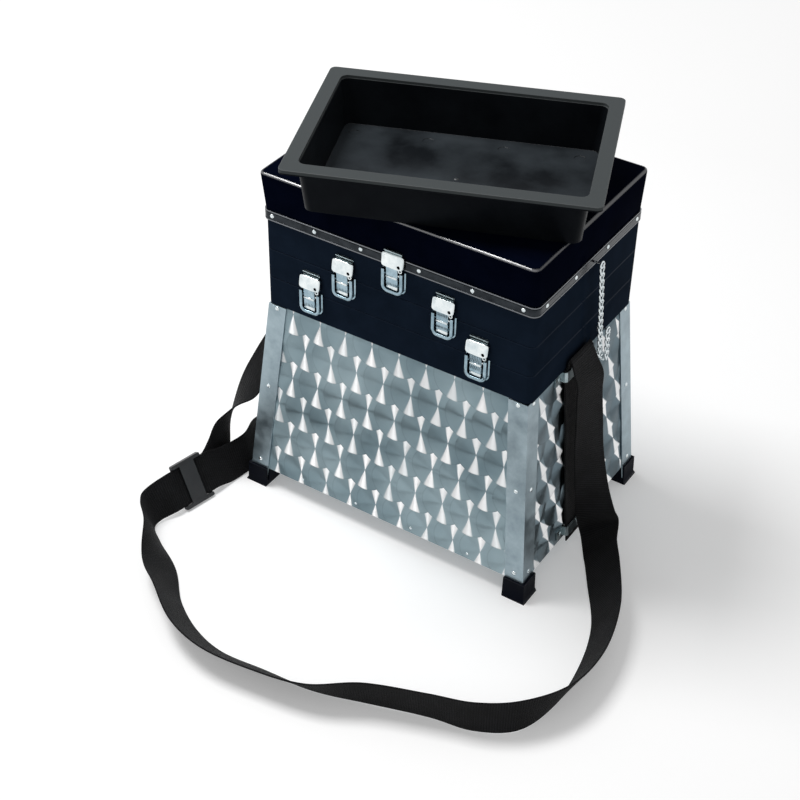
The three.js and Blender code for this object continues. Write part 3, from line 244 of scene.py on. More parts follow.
def slider_entry(way):
    """Stations from outside the adjuster, over its end bar and under its middle bar."""
    reach = SLIDER_LENGTH / 2
    over = SLIDER_THICKNESS / 2 + STRAP_THICKNESS / 2 + FIT_GAP
    under = SLIDER_RISE - SLIDER_THICKNESS / 2 - STRAP_THICKNESS / 2 - FIT_GAP
    return [
        slider_pair(way * (reach + SLIDER_BAR / 2), over),
        slider_pair(way * reach, over),
        slider_pair(way * (reach - SLIDER_EDGE_BAR), over),
        slider_pair(way * (SLIDER_BAR / 2 + FIT_GAP), under),
        slider_pair(way * SLIDER_BAR / 4, under),
        slider_pair(way * FIT_GAP * 4, under),
    ]


def wall_run(side):
    """Stations up a side panel, through both strap loops and over the crest, from the tail."""
    half = STRAP_WIDTH / 2
    return [[[side * x, STRAP_MIDDLE - half, z], [side * x, STRAP_MIDDLE + half, z]] for x, z in WALL]


def through(points, shares):
    """Centripetal Catmull-Rom curve: between two points a cubic whose end slopes come from the
    neighbours, each span weighted by the square root of its length."""
    p = np.vstack([2 * points[0] - points[1], points, 2 * points[-1] - points[-2]])
    at = shares * (len(points) - 1)
    i = np.minimum(at.astype(int), len(points) - 2)
    w = (at - i)[:, None]
    p0, p1, p2, p3 = p[i], p[i + 1], p[i + 2], p[i + 3]
    spans = [np.sqrt(np.linalg.norm(b - a, axis=1))[:, None] for a, b in ((p0, p1), (p1, p2), (p2, p3))]
    before, span, after = spans
    slope = ((p1 - p0) / before - (p2 - p0) / (before + span) + (p2 - p1) / span) * span
    leave = ((p2 - p1) / span - (p3 - p1) / (span + after) + (p3 - p2) / after) * span
    square = -3 * p1 + 3 * p2 - 2 * slope - leave
    cube = 2 * p1 - 2 * p2 + slope + leave
    return p1 + w * slope + w**2 * square + w**3 * cube


def webbing(name, route):
    """A flat strap along two edge curves. Its middle is halfway between them, its width runs from one
    to the other, and its normal is the width crossed with the way ahead. The section is a flat bar
    with rounded edges and a slightly thicker selvedge. Stations are closer where the strap bends."""
    edges = np.array(route, float)
    shares = np.linspace(0, 1, FINE_STATIONS)
    low, high = through(edges[:, 0], shares), through(edges[:, 1], shares)
    step = np.diff((low + high) / 2, axis=0)
    run = np.concatenate([[0], np.cumsum(np.linalg.norm(step, axis=1))])
    ahead = unit(step)
    bend = np.arccos(np.clip((ahead[1:] * ahead[:-1]).sum(1), -1, 1))
    measure = run + BEND_WEIGHT * np.concatenate([[0, 0], np.cumsum(bend)])
    count = int(measure[-1] / STATION_SPACING)
    at = np.interp(np.linspace(0, measure[-1], count), measure, shares)
    run = np.interp(at, shares, run)
    low, high = through(edges[:, 0], at), through(edges[:, 1], at)
    middle = (low + high) / 2
    across = unit(high - low)
    normal = unit(np.cross(np.gradient(middle, axis=0), across))
    drop = np.abs(across[:, 2]) * STRAP_WIDTH / 2 + np.abs(normal[:, 2]) * STRAP_THICKNESS / 2
    middle[:, 2] = np.maximum(middle[:, 2], drop + GROUND_CLEAR)
    half = STRAP_WIDTH / 2
    radius = STRAP_THICKNESS / 2
    half_row = np.concatenate([SECTION_OFFSETS - half, (half - SECTION_OFFSETS)[-2::-1]])
    inset = np.clip((np.abs(half_row) - half + radius) / radius, 0, 1)
    from_selvedge = (half - np.abs(half_row) - SELVEDGE_INSET) / SELVEDGE_SPREAD
    selvedge = SELVEDGE_RISE * np.exp(-(from_selvedge**2))
    height = radius * np.sqrt(1 - inset**2) + selvedge * (inset < 1)
    wide = np.concatenate([half_row, half_row[-2:0:-1]])
    thick = np.concatenate([height, -height[-2:0:-1]])
    grid = middle[:, None] + across[:, None] * wide[:, None] + normal[:, None] * thick[:, None]
    weave = np.zeros(grid.shape)
    weave[..., 0] = wide * MM
    weave[..., 1] = run[:, None] * MM
    made = piece(name, [(packed(grid), False)], weave=weave.reshape(-1, 3))
    return made, packed(middle), run[-1] * MM


left_ends = [slider_pair(SLIDER_LENGTH / 2 + reach, BRANCH_OUT) for reach in (2 * FIT_GAP, SLIDER_BAR / 4)]
upper_way = np.array(left_ends + UPPER_BRANCH, float)[::-1, ::-1]
shoulder_route = wall_run(1) + SHOULDER + slider_entry(-1)
left_route = slider_entry(1)[::-1] + LOWER_BRANCH + wall_run(-1) + list(upper_way)

shoulder, shoulder_path, shoulder_length = webbing("webbing_shoulder", shoulder_route)
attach(shoulder, "base")
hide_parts("strap_shoulder", "strap_wall_right")
branch, branch_path, branch_length = webbing("webbing_left_loop", left_route)
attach(branch, "base")
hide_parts("strap_branch_lower", "strap_branch_upper", "strap_wall_left")


# Lid chain: twisted oval links in three straight runs, with a ring at each stud

CHAIN_INNER = 185.9
CHAIN_OUTER = 189.8
LID_STUD = (3, 393)
BASE_STUD = (38, 284.5)
WIRE = 1.05
RING = 3.7
STUD = 1.3
LINK_PITCH = 9.83
LINK_WIDTH = 8.6
LINK_TWIST = 0.42
CHAIN_PLAY = 0.25
LINK_BITE = 0.25
WIRE_SWELL = 1.25
OVAL = 3
UPPER_LEAN = math.radians(8.4)
LOWER_LEAN = math.radians(6.5)


def chain_loop(reach, stretch, twist, level):
    """A wire loop: a circle drawn out along Z by a smooth step, swept by a round wire, then turned
    about Z in proportion to the height above its middle."""
    turn = around(28)[:, None]
    tube = around(10)[None, :]
    across = reach * np.cos(turn)
    along = reach * np.sin(turn) + stretch * np.tanh(OVAL * np.sin(turn)) / np.tanh(OVAL)
    slope = np.stack([np.gradient(across[:, 0]), np.gradient(along[:, 0])], axis=1)
    slope[[0, -1]] = [0, 1]
    slope = unit(slope)
    thick = WIRE * WIRE_SWELL
    across = across + thick * np.cos(tube) * slope[:, 1:2]
    along = along - thick * np.cos(tube) * slope[:, 0:1]
    out = thick * np.sin(tube) + 0 * turn
    wring = twist * along / (reach + WIRE + stretch)
    x = across * np.sin(wring) + out * np.cos(wring)
    y = across * np.cos(wring) - out * np.sin(wring)
    return np.stack([x, y, along + level], axis=-1)


def chain_run(run, links, ring, lean, plane, start):
    """Links one pitch apart down a line that leans from straight down, hung on a ring where there is one."""
    wire = 2 * WIRE
    loops, first = [], 0.0
    if ring:
        drop = RING - WIRE - STUD - CHAIN_PLAY
        loops.append(chain_loop(RING, 0, 0, -drop))
        first = drop + RING + WIRE - LINK_BITE
    first += LINK_PITCH / 2 - wire / 2
    stretch = (LINK_PITCH + 2 * wire - LINK_BITE - LINK_WIDTH) / 2
    reach = (LINK_WIDTH - wire) / 2
    loops += [chain_loop(reach, stretch, LINK_TWIST, -first - i * LINK_PITCH) for i in range(links)]
    c, s = math.cos(lean), math.sin(lean)
    leaned = np.array([[1, 0, 0], [0, c, s], [0, -s, c]])
    hung = [loop @ leaned + np.array([plane, *start]) for loop in loops]
    made = piece(f"chain_links_{run}", [(packed(loop), True) for loop in hung])
    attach(made, f"chain_{run}")
    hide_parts(f"chain_{run}")
    return made, first + (links - 0.5) * LINK_PITCH


def down(start, length, lean):
    """The point so far down a leaning run from its start, as (y, z)."""
    return (start[0] + length * math.sin(lean), start[1] - length * math.cos(lean))


links_upper, upper_length = chain_run("upper", 13, True, UPPER_LEAN, CHAIN_OUTER, LID_STUD)
links_lower, lower_length = chain_run("lower", 4, True, LOWER_LEAN, CHAIN_OUTER, BASE_STUD)
meet = down(LID_STUD, upper_length, UPPER_LEAN)
low_bend = down(BASE_STUD, lower_length, LOWER_LEAN)
middle_lean = math.atan2(meet[0] - low_bend[0], low_bend[1] - meet[1])
links_middle, _ = chain_run("middle", 3, False, middle_lean, CHAIN_INNER, low_bend)


# Rivet heads over the corner angles, the lid band and the lower edge of the front and back panels.
# The body's edges are a level, a half width, a front and a back.

UPPER_EDGE = np.array([268.3, 175.9, -119.85, 125])
LOWER_EDGE = np.array([24.4, 198.1, -139.84, 139.84])
ANGLE_RIVETS = (265.4, 152, 37.5)
ANGLE_MIDDLE = 12.5
BAND_RIVETS_FRONT = (-164.5, -106, -43.5, 32.5, 100, 162.5)
BAND_RIVETS_BACK = (-164.5, 162.5)
BAND_RIVETS_SIDE = (-101, -37, 37, 108)
BAND_RIVET_LEVEL = 393.38
BAND_HALF = 179.1
BAND_FRONT = -122
BAND_BACK = 126
PANEL_RIVETS = (-120, -40, 40, 120)
PANEL_RIVET_LEVEL = 33
PANEL_SINK = 1.9
ANGLE_HEAD = (2.9, 1.5)
BAND_HEAD = (2.7, 1.5)
PANEL_HEAD = (1.9, 0.9)


def body_edge(level):
    """Half width, front and back of the sloping body at a level, mixed between its two ends."""
    share = (UPPER_EDGE[0] - level) / (UPPER_EDGE[0] - LOWER_EDGE[0])
    return (UPPER_EDGE + (LOWER_EDGE - UPPER_EDGE) * share)[1:]


def rivets(name, body, heads):
    """One piece of rivet heads, each a radius, a height, a place and an outward direction."""
    made = piece(name, [(packed(dome(r, h, place, out)), False) for r, h, place, out in heads])
    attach(made, body)
    return made


angle_heads = []
for level in ANGLE_RIVETS:
    half, front, back = body_edge(level)
    for side in (-1, 1):
        for edge, way in ((front, -1), (back, 1)):
            on_face = (side * (half - ANGLE_MIDDLE), edge, level)
            on_side = (side * half, edge - way * ANGLE_MIDDLE, level)
            angle_heads.append((*ANGLE_HEAD, on_face, (0, way, 0.08)))
            angle_heads.append((*ANGLE_HEAD, on_side, (side, 0, 0.09)))
angle_rivets = rivets("angle_rivets", "base", angle_heads)
band_places = [((x, BAND_FRONT), (0, -1, 0)) for x in BAND_RIVETS_FRONT]
band_places += [((x, BAND_BACK), (0, 1, 0)) for x in BAND_RIVETS_BACK]
for side in (-1, 1):
    band_places += [((side * BAND_HALF, y), (side, 0, 0)) for y in BAND_RIVETS_SIDE]
band_heads = [(*BAND_HEAD, (*place, BAND_RIVET_LEVEL), way) for place, way in band_places]
band_rivets = rivets("band_rivets", "lid", band_heads)
_, panel_front, panel_back = body_edge(PANEL_RIVET_LEVEL)
panel_heads = []
for x in PANEL_RIVETS:
    panel_heads.append((*PANEL_HEAD, (x, panel_front + PANEL_SINK, PANEL_RIVET_LEVEL), (0, -1, 0.08)))
    panel_heads.append((*PANEL_HEAD, (x, panel_back - PANEL_SINK, PANEL_RIVET_LEVEL), (0, 1, 0.06)))
panel_rivets = rivets("panel_rivets", "base", panel_heads)


# Draw latches: a pressed channel lever, and a hook of bars, a ribbed plate and a sloping hood. Each has
# its place across the front, its level, the lid band's step under its hood, and what carries its base.

STAGE_FRONT = -119
LATCHES = [
    (-112.5, 307.3, 0, "base"),
    (-66.5, 346, 0, "tray_lower"),
    (0, 379, 3, "tray_upper"),
    (66, 346, 0, "tray_lower"),
    (110.5, 307.3, 0, "base"),
]
LEVER_HALF = 11.6
LEVER_TOP = 3.3
LEVER_LOW = -23.6
LEVER_BEND = 6
LEVER_SECTION = np.array([
    (3.5, 0.7), (3.6, 1.1), (3.4, 1.5), (2.2, 1.7), (1.9, 2.2), (1.9, 5), (2.2, 5.6), (2.4, 6.3), (2.2, 7),
    (1.6, 7.4), (0.6, 7.5), (-0.5, 7.4), (-1.3, 7), (-1.6, 6.4), (-1.4, 5.8), (-0.8, 5.5), (0.4, 5.6),
    (0.9, 5), (0.9, 0.9), (1.4, 0.6),
])
HOOK_HALF = 7.4
HOOK_BAR = 1.5
HOOK_BAR_PLACE = (6.5, -4.6)
HOOK_ROLL = 3
HOOK_ROLL_PLACE = (3.9, -18.3)
HOOK_RIB_PITCH = 2.1
HOOK_RIB_RISE = 0.12
HOOK_PLATE_FACE = 0.55
HOOK_PLATE_BACK = 0.4
HOOK_PLATE_OUT = np.array([5.2, 6, 6.1, 6.1, 6.2, 6.4, 6.8, 7])
HOOK_PLATE_LEVELS = np.array([-17, -15, -9, -4.6, 0, 4, 7, 11])
BAR_END = 0.5
HOOD_HALF = 14.4
HOOD_LOW = 7.6
HOOD_HIGH = 24.6
HOOD_HOLE = (8.9, 11.6)
HOOD_HOLE_RADIUS = 2.1
HOOD_DIMPLE = (-10, 20.2)
HOOD_CORNER = 0.34
HOOD_RIM = 1.6
HOOD_RIM_DEPTH = 2.2
HOOD_OUT = 8
HOOD_SLOPE = 0.16
HOOD_CROWN = 0.5
HOOD_BACK = 2.4
DIMPLE_RADIUS = 2.2
DIMPLE_WALL = 1.4
DIMPLE_DEPTH = 0.7
HOLE_DEPTH = 3.5
# Painted shade: a near-black plug down the hood's hole, from so far to so far out.
HOLE_PLUG = (4.6, 7.2)
PLUG_SHARE = 0.98
EAR_MIDDLE = (10.6, 6.6, 7)
EAR_RADIUS = 2
EAR_WIRE = 0.8
BASE_PLATE = (10.8, -25.2, -1.7, 1.1)
BASE_PIN = (4.8, -1)
BASE_PIN_RADIUS = 1
BASE_PIN_HALF = LEVER_HALF - 0.2
BASE_CORNER = 0.4
BASE_EDGE = 0.25
PIN_EAR_PLACE = 9.7
PIN_EAR_SECTION = (0.6, 1.9)
PIN_EAR_PATH = ((0.5, -5), (2.4, -3), BASE_PIN)


def on_front(grid, x, level):
    """A latch's own across, outward and up to drawing places on the stage front."""
    return np.stack([grid[..., 0] + x, STAGE_FRONT - grid[..., 1], grid[..., 2] + level], axis=-1)


def lever_form():
    """The lever's channel section, each point so far sideways and so far outward, carried down one cheek,
    round two bends and up the other."""
    bend = np.linspace(0, math.pi / 2, 8)
    inner, low = LEVER_HALF - LEVER_BEND, LEVER_LOW + LEVER_BEND
    left = np.stack([-inner - LEVER_BEND * np.cos(bend), low - LEVER_BEND * np.sin(bend)], axis=1)
    right = left[::-1] * [-1, 1]
    flat = np.vstack([[-LEVER_HALF, LEVER_TOP], left, right, [LEVER_HALF, LEVER_TOP]])
    side_left = np.stack([-np.cos(bend), -np.sin(bend)], axis=1)
    side = np.vstack([[-1, 0], side_left, side_left[::-1] * [-1, 1], [1, 0]])
    path = np.stack([flat[:, 0], np.zeros(len(flat)), flat[:, 1]], axis=1)
    side = np.stack([side[:, 0], np.zeros(len(side)), side[:, 1]], axis=1)
    return sweep(path, side, flat_ways(len(path))[1], LEVER_SECTION)


def bar_across(half, radius, place):
    """A round bar across the latch, its ends turned in by a quarter circle."""
    rise = np.linspace(0.15, math.pi / 2, 5)
    reach = half - BAR_END * np.sin(rise)
    size = radius - BAR_END * np.cos(rise)
    reach = np.concatenate([-reach, reach[::-1]])[:, None]
    size = np.concatenate([size, size[::-1]])[:, None]
    turn = around(16)
    y = place[0] + size * np.cos(turn)
    z = place[1] + size * np.sin(turn)
    return np.stack([reach + 0 * y, y, z], axis=-1)


def neck_form():
    """The hook's plate: a thin section with shallow upright ribs, carried up from the roll, over the bar
    and out under the hood."""
    path = np.stack([0 * HOOK_PLATE_OUT, HOOK_PLATE_OUT, HOOK_PLATE_LEVELS], axis=1)
    across = np.linspace(-HOOK_HALF, HOOK_HALF, 43)
    ribs = HOOK_PLATE_FACE + HOOK_RIB_RISE * np.cos(2 * math.pi * across / HOOK_RIB_PITCH)
    back = np.stack([across[::-1], 0 * across - HOOK_PLATE_BACK], 1)
    return sweep(path, *flat_ways(len(path)), np.concatenate([np.stack([across, ribs], 1), back]))


def hood_form(step):
    """The hood: rings between one rounded outline and the round hole near a lower corner, the rim turned
    in by a quarter circle, the face sloping back as it rises, with a dimple in the far corner; the
    last rings go down the hole."""
    wide, tall = superellipse(HOOD_HALF, (HOOD_HIGH - HOOD_LOW) / 2, HOOD_CORNER, 88)
    middle = (HOOD_HIGH + HOOD_LOW) / 2
    heading = np.arctan2(tall + middle - HOOD_HOLE[1], wide - HOOD_HOLE[0])
    hole_x = HOOD_HOLE[0] + HOOD_HOLE_RADIUS * np.cos(heading)
    hole_z = HOOD_HOLE[1] + HOOD_HOLE_RADIUS * np.sin(heading)
    inset = np.concatenate([[0, 0], HOOD_RIM * (1 - np.cos(np.linspace(0.2, 1.57, 7)))])
    shrink = 1 - inset / HOOD_HALF
    outer = [(share * wide, middle + share * tall) for share in shrink]
    share = np.linspace(0.06, 1, 20)
    edge_x, edge_z = outer[-1]
    inner = [(edge_x + (hole_x - edge_x) * s, edge_z + (hole_z - edge_z) * s) for s in share]
    x = np.array([p[0] for p in outer + inner])
    z = np.array([p[1] for p in outer + inner])
    rim = np.concatenate([1 - inset / HOOD_RIM, 0 * share])[:, None]
    y = HOOD_OUT - HOOD_SLOPE * (z - HOOD_LOW) + HOOD_CROWN * np.cos(x / HOOD_HALF * 1.4)
    y -= HOOD_RIM_DEPTH * (1 - np.sqrt(1 - rim**2))
    y[0] = step + HOOD_BACK
    far = np.hypot(x - HOOD_DIMPLE[0], z - HOOD_DIMPLE[1])
    y -= DIMPLE_DEPTH * np.clip((DIMPLE_RADIUS - far) / DIMPLE_WALL, 0, 1)
    face = np.stack([x, y, z], axis=-1)
    return np.concatenate([face, face[-1:] - [0, HOLE_DEPTH, 0]])


def hole_form():
    """Painted shade inside the hood's hole: a near-black plug just inside its wall, ending a little under the
    face.
    """
    turn = around(24)
    x = HOOD_HOLE[0] + HOOD_HOLE_RADIUS * PLUG_SHARE * np.cos(turn)
    z = HOOD_HOLE[1] + HOOD_HOLE_RADIUS * PLUG_SHARE * np.sin(turn)
    return np.array([np.stack([x, 0 * x + y, z], axis=1) for y in HOLE_PLUG])


def ear_form():
    """The small wire ear under the hole: a ring whose wire goes round a circle below the hood."""
    turn = around(20)
    reach = np.stack([np.cos(turn), 0 * turn, np.sin(turn)], axis=1)
    path = np.array(EAR_MIDDLE) + EAR_RADIUS * reach
    section = np.stack(superellipse(EAR_WIRE, EAR_WIRE, 1, 10), axis=1)
    return sweep(path, reach, flat_ways(len(path))[1], section)


def slab(half, low, high, thick):
    """A flat plate lying on the stage: a rounded outline at its back, its face and a little inside it."""
    wide, tall = superellipse(half, (high - low) / 2, BASE_CORNER, 64)
    rings = ((1, 0), (1, thick - BASE_EDGE), (0.98, thick))
    return np.array([np.stack([f * wide, 0 * wide + y, (high + low) / 2 + f * tall], 1) for f, y in rings])


def pin_ear(x):
    """An ear of the base plate: a short thick strip from the plate out to the lever's pin."""
    path = np.array([(x, *place) for place in PIN_EAR_PATH], float)
    side = flat_ways(len(path))[0]
    along = unit(np.gradient(path, axis=0))
    section = np.stack(superellipse(*PIN_EAR_SECTION, BASE_CORNER, 20), axis=1)
    return sweep(path, side, np.cross(along, side), section)


def latch_piece(name, forms, x, level, body, node):
    """One latch member from its forms, each with its material slot, riding on its body."""
    made = piece(name, [(packed(on_front(grid, x, level)), ring, slot) for grid, ring, slot in forms])
    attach(made, body)
    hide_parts(node)
    return made


latch_members = []
for number, (x, level, step, carrier) in enumerate(LATCHES, 1):
    kind = f"latch_{number}_"
    lever = [(lever_form(), False, 1)]
    hook = [
        (hood_form(step), False, 0),
        (hole_form(), False, 2),
        (ear_form(), True, 0),
        (neck_form(), False, 1),
        (bar_across(HOOK_HALF, HOOK_BAR, HOOK_BAR_PLACE), False, 0),
        (bar_across(HOOK_HALF, HOOK_ROLL, HOOK_ROLL_PLACE), False, 0),
    ]
    base = [
        (slab(*BASE_PLATE), False, 1),
        (bar_across(BASE_PIN_HALF, BASE_PIN_RADIUS, BASE_PIN), False, 0),
        (pin_ear(-PIN_EAR_PLACE), False, 1),
        (pin_ear(PIN_EAR_PLACE), False, 1),
    ]
    latch_members += [
        latch_piece(kind + "lever_frame", lever, x, level, f"latch_lever_{number}", kind + "lever"),
        latch_piece(kind + "hook_plate", hook, x, level, f"latch_hook_{number}", kind + "hook"),
        latch_piece(kind + "base_plate", base, x, level, carrier, kind + "base"),
    ]


# Materials. A Mix node's sockets go by place: its two colours and their result, then the same for vectors.

MIX_A = 6
MIX_B = 7
MIXED = 2
MIX_VECTOR_A = 4
MIX_VECTOR_B = 5
MIXED_VECTOR = 1


def tint(code):
    """An sRGB hex colour as linear light: to 0.04045 divided by 12.92, above ((c + 0.055) / 1.055) ^ 2.4."""
    parts = [int(code[i : i + 2], 16) / 255 for i in (1, 3, 5)]
    return [c / 12.92 if c <= 0.04045 else ((c + 0.055) / 1.055) ** 2.4 for c in parts] + [1.0]


def add(tree, kind, inputs=(), **settings):
    """One shader node with its settings, and its inputs by order or name: a value, a socket or a node."""
    made = tree.nodes.new("ShaderNode" + kind)
    for key, value in settings.items():
        setattr(made, key, value)
    for key, value in inputs.items() if isinstance(inputs, dict) else enumerate(inputs):
        if isinstance(value, bpy.types.Node):
            value = value.outputs[0]
        if isinstance(value, bpy.types.NodeSocket):
            tree.links.new(value, made.inputs[key])
        else:
            made.inputs[key].default_value = value
    return made


def start_material(name):
    """A node material: its tree, its Object coordinates and its principled shader, wired to the output."""
    made = bpy.data.materials.new(name)
    made.use_nodes = True
    tree = made.node_tree
    tree.nodes.clear()
    shader = add(tree, "BsdfPrincipled")
    add(tree, "OutputMaterial", {"Surface": shader})
    coords = add(tree, "TexCoord").outputs["Object"]
    return made, tree, coords, shader


def finish_surface(tree, coords, shader, low, high, scale, rough, edge, grain):
    """What all the hard finishes share: two colours mixed by soft noise of so many patches along a metre,
    roughness that follows the same noise, and edges rounded in the shading by so many millimetres,
    with a bump of the grain's height and its depth in millimetres. The rounded normal comes back."""
    patch = add(tree, "TexNoise", {"Vector": coords, "Scale": scale, "Detail": 4.0, "Roughness": 0.6})
    spread = add(tree, "MapRange", [patch, 0.3, 0.7, 0.0, 1.0])
    colour = add(tree, "Mix", {"Factor": spread, MIX_A: tint(low), MIX_B: tint(high)}, data_type="RGBA")
    tree.links.new(colour.outputs[MIXED], shader.inputs["Base Color"])
    rougher = add(tree, "MapRange", [patch, 0.3, 0.7, rough[0], rough[1]])
    tree.links.new(rougher.outputs[0], shader.inputs["Roughness"])
    rounded = add(tree, "Bevel", {"Radius": edge * MM}, samples=4)
    height, depth = grain
    bump = add(tree, "Bump", {"Height": height, "Distance": depth * MM, "Strength": 1.0, "Normal": rounded})
    tree.links.new(bump.outputs[0], shader.inputs["Normal"])
    return rounded


SWIRL_PITCH = 0.0369
SWIRL_ROW = 0.044
SWIRL_RADIUS = 0.0275
SWIRL_RING = 0.0011
SWIRL_WOBBLE = 0.006
SWIRL_EDGE = SWIRL_RADIUS * 0.93
SWIRL_EDGE_SHADE = 0.84
# Painted highlights: how far a dab's painted flare may turn either way, its least strength, and where its
# fade starts and is full.
FLARE_SWING = 0.06
FLARE_LEAST = 0.75
FLARE_START = 0.95
FLARE_FULL = 0.985


def covering_dab(tree, place, level):
    """A point's place and level from the middle of the dab that covers it, found row by row from above:
    half chord = sqrt(radius^2 - rise^2), column = floor((place + half chord) / pitch)."""
    reach = SWIRL_RADIUS / SWIRL_ROW
    scaled = add(tree, "Math", [level, 1 / SWIRL_ROW, reach], operation="MULTIPLY_ADD")
    top_row = add(tree, "Math", [scaled], operation="FLOOR")
    chosen = None
    for back in (2.0, 1.0, 0.0):
        row = add(tree, "Math", [top_row, back], operation="SUBTRACT")
        middle = add(tree, "Math", [row, SWIRL_ROW], operation="MULTIPLY")
        rise = add(tree, "Math", [level, middle], operation="SUBTRACT")
        square = add(tree, "Math", [rise, rise], operation="MULTIPLY")
        left = add(tree, "Math", [SWIRL_RADIUS**2, square], operation="SUBTRACT")
        inside = add(tree, "Math", [left, 0.0], operation="MAXIMUM")
        chord = add(tree, "Math", [inside], operation="SQRT")
        odd = add(tree, "Math", [row, 2.0], operation="FLOORED_MODULO")
        stagger = add(tree, "Math", [odd, 0.5], operation="MULTIPLY")
        right = add(tree, "Math", [place, chord], operation="ADD")
        columns = add(tree, "Math", [right, SWIRL_PITCH], operation="DIVIDE")
        whole = add(tree, "Math", [columns, stagger], operation="SUBTRACT")
        column = add(tree, "Math", [whole], operation="FLOOR")
        centre = add(tree, "Math", [column, stagger], operation="ADD")
        across = add(tree, "Math", [centre, -SWIRL_PITCH, place], operation="MULTIPLY_ADD")
        here = add(tree, "CombineXYZ", [across, rise, 0.0]).outputs[0]
        if chosen is not None:
            off = add(tree, "Math", [across], operation="ABSOLUTE")
            reached = add(tree, "Math", [off, chord], operation="LESS_THAN")
            either = {"Factor": reached, MIX_VECTOR_A: chosen, MIX_VECTOR_B: here}
            here = add(tree, "Mix", either, data_type="VECTOR").outputs[MIXED_VECTOR]
        chosen = here
    dab = add(tree, "SeparateXYZ", [chosen])
    return dab.outputs["X"], dab.outputs["Y"]


def engine_turned(name, axis, flare, low, high):
    """Bright aluminium sheet, dabbed in staggered rows by a spinning abrasive pad. Every dab leaves fine
    rings round its own middle and covers part of the last ones, so light gathers in two flares through
    each middle: the radial grain in the shader makes them from the lamp, and painted highlights, white in
    the base colour, add them again, some stronger and some more turned than others. Axis is the one along
    the sheet, and flare is how far the painted flares lean along it for each metre up."""
    made, tree, coords, shader = start_material(name)
    wobble = add(tree, "TexNoise", {"Vector": coords, "Scale": 22.0, "Detail": 1.0})
    shift = add(tree, "VectorMath", [wobble.outputs["Color"], (0.5, 0.5, 0.5)], operation="SUBTRACT")
    small = add(tree, "VectorMath", {0: shift, "Scale": SWIRL_WOBBLE}, operation="SCALE")
    moved = add(tree, "VectorMath", [coords, small], operation="ADD")
    apart = add(tree, "SeparateXYZ", [moved])
    place, level = apart.outputs[axis], apart.outputs["Z"]
    across, rise = covering_dab(tree, place, level)
    flat = add(tree, "CombineXYZ", [across, rise, 0.0])
    distance = add(tree, "VectorMath", [flat], operation="LENGTH").outputs["Value"]

    own_place = add(tree, "Math", [place, across], operation="SUBTRACT")
    own_level = add(tree, "Math", [level, rise], operation="SUBTRACT")
    own = add(tree, "CombineXYZ", [own_place, own_level, 0.0])
    luck = add(tree, "TexNoise", {"Vector": own, "Scale": 43.0, "Detail": 0.0})
    chance = add(tree, "SeparateXYZ", [luck.outputs["Color"]])
    # Painted highlights: along each dab's flare line the base colour goes towards white, each flare leaning
    # and as strong as its dab's own chance gives.
    swing = (flare - FLARE_SWING, flare + FLARE_SWING)
    lean = add(tree, "MapRange", [chance.outputs["X"], 0.3, 0.7, *swing])
    aim = add(tree, "VectorMath", [add(tree, "CombineXYZ", [lean, 1.0, 0.0])], operation="NORMALIZE")
    outward = add(tree, "VectorMath", [flat], operation="NORMALIZE")
    facing = add(tree, "VectorMath", [outward, aim], operation="DOT_PRODUCT").outputs["Value"]
    strong = add(tree, "Math", [facing], operation="ABSOLUTE")
    most = add(tree, "MapRange", [chance.outputs["Y"], 0.3, 0.6, FLARE_LEAST, 1.0])
    fade = [strong, FLARE_START, FLARE_FULL, 0.0, most]
    shine = add(tree, "MapRange", fade, interpolation_type="SMOOTHSTEP")

    patch = add(tree, "TexNoise", {"Vector": coords, "Scale": 9.0, "Detail": 3.0})
    spread = add(tree, "MapRange", [patch, 0.3, 0.7, 0.0, 1.0])
    plain = add(tree, "Mix", {"Factor": spread, MIX_A: tint(low), MIX_B: tint(high)}, data_type="RGBA")
    # The painted highlight colour, mixed in where the flare mask is high.
    flares = {"Factor": shine, MIX_A: plain.outputs[MIXED], MIX_B: tint("#ffffff")}
    painted_flares = add(tree, "Mix", flares, data_type="RGBA")
    edge = add(tree, "MapRange", [distance, SWIRL_EDGE, SWIRL_RADIUS, 1.0, SWIRL_EDGE_SHADE])
    darker = {"Factor": 1.0, MIX_A: painted_flares.outputs[MIXED], MIX_B: edge}
    shaded = add(tree, "Mix", darker, data_type="RGBA", blend_type="MULTIPLY")
    tree.links.new(shaded.outputs[MIXED], shader.inputs["Base Color"])

    rings = add(tree, "Math", [distance, 2 * math.pi / SWIRL_RING], operation="MULTIPLY")
    wave = add(tree, "Math", [rings], operation="SINE")
    soft = add(tree, "MapRange", [wave, -1.0, 1.0, 0.46, 0.56])
    tree.links.new(soft.outputs[0], shader.inputs["Roughness"])
    bump = add(tree, "Bump", {"Height": wave, "Distance": 0.00002, "Strength": 0.6})
    tree.links.new(bump.outputs[0], shader.inputs["Normal"])
    radial = add(tree, "CombineXYZ", {axis: across, "Z": rise})
    tangent = add(tree, "VectorMath", [radial], operation="NORMALIZE")
    tree.links.new(tangent.outputs[0], shader.inputs["Tangent"])
    shader.inputs["Anisotropic"].default_value = 1.0
    shader.inputs["Metallic"].default_value = 1.0
    return made


def mill_aluminium():
    """Extruded aluminium angle, mill finish: fine drawing lines up its length, dull patches, bright edges."""
    made, tree, coords, shader = start_material("mill_finish_aluminium")
    shader.inputs["Metallic"].default_value = 1.0
    drawn = add(tree, "Mapping", {"Vector": coords, "Scale": (1500.0, 1500.0, 14.0)})
    lines = add(tree, "TexNoise", {"Vector": drawn, "Scale": 1.0, "Detail": 2.0})
    finish_surface(tree, coords, shader, "#86969e", "#a8b8bf", 40.0, (0.3, 0.48), 0.35, (lines, 0.03))
    return made


# Bait tray: above the rim level the colour is a painted reflection and the finish is duller; the floor colour
# is painted light.
TRAY_RIM_LEVEL = 0.5064
TRAY_RIM_BLEND = 0.0004
TRAY_RIM_LIT_COLOUR = "#45494a"
TRAY_RIM_ROUGHNESS = 0.6
TRAY_FLOOR_LIT_COLOUR = "#363b3f"
TRAY_FLOOR_DEPTHS = (0.01, 0.03)


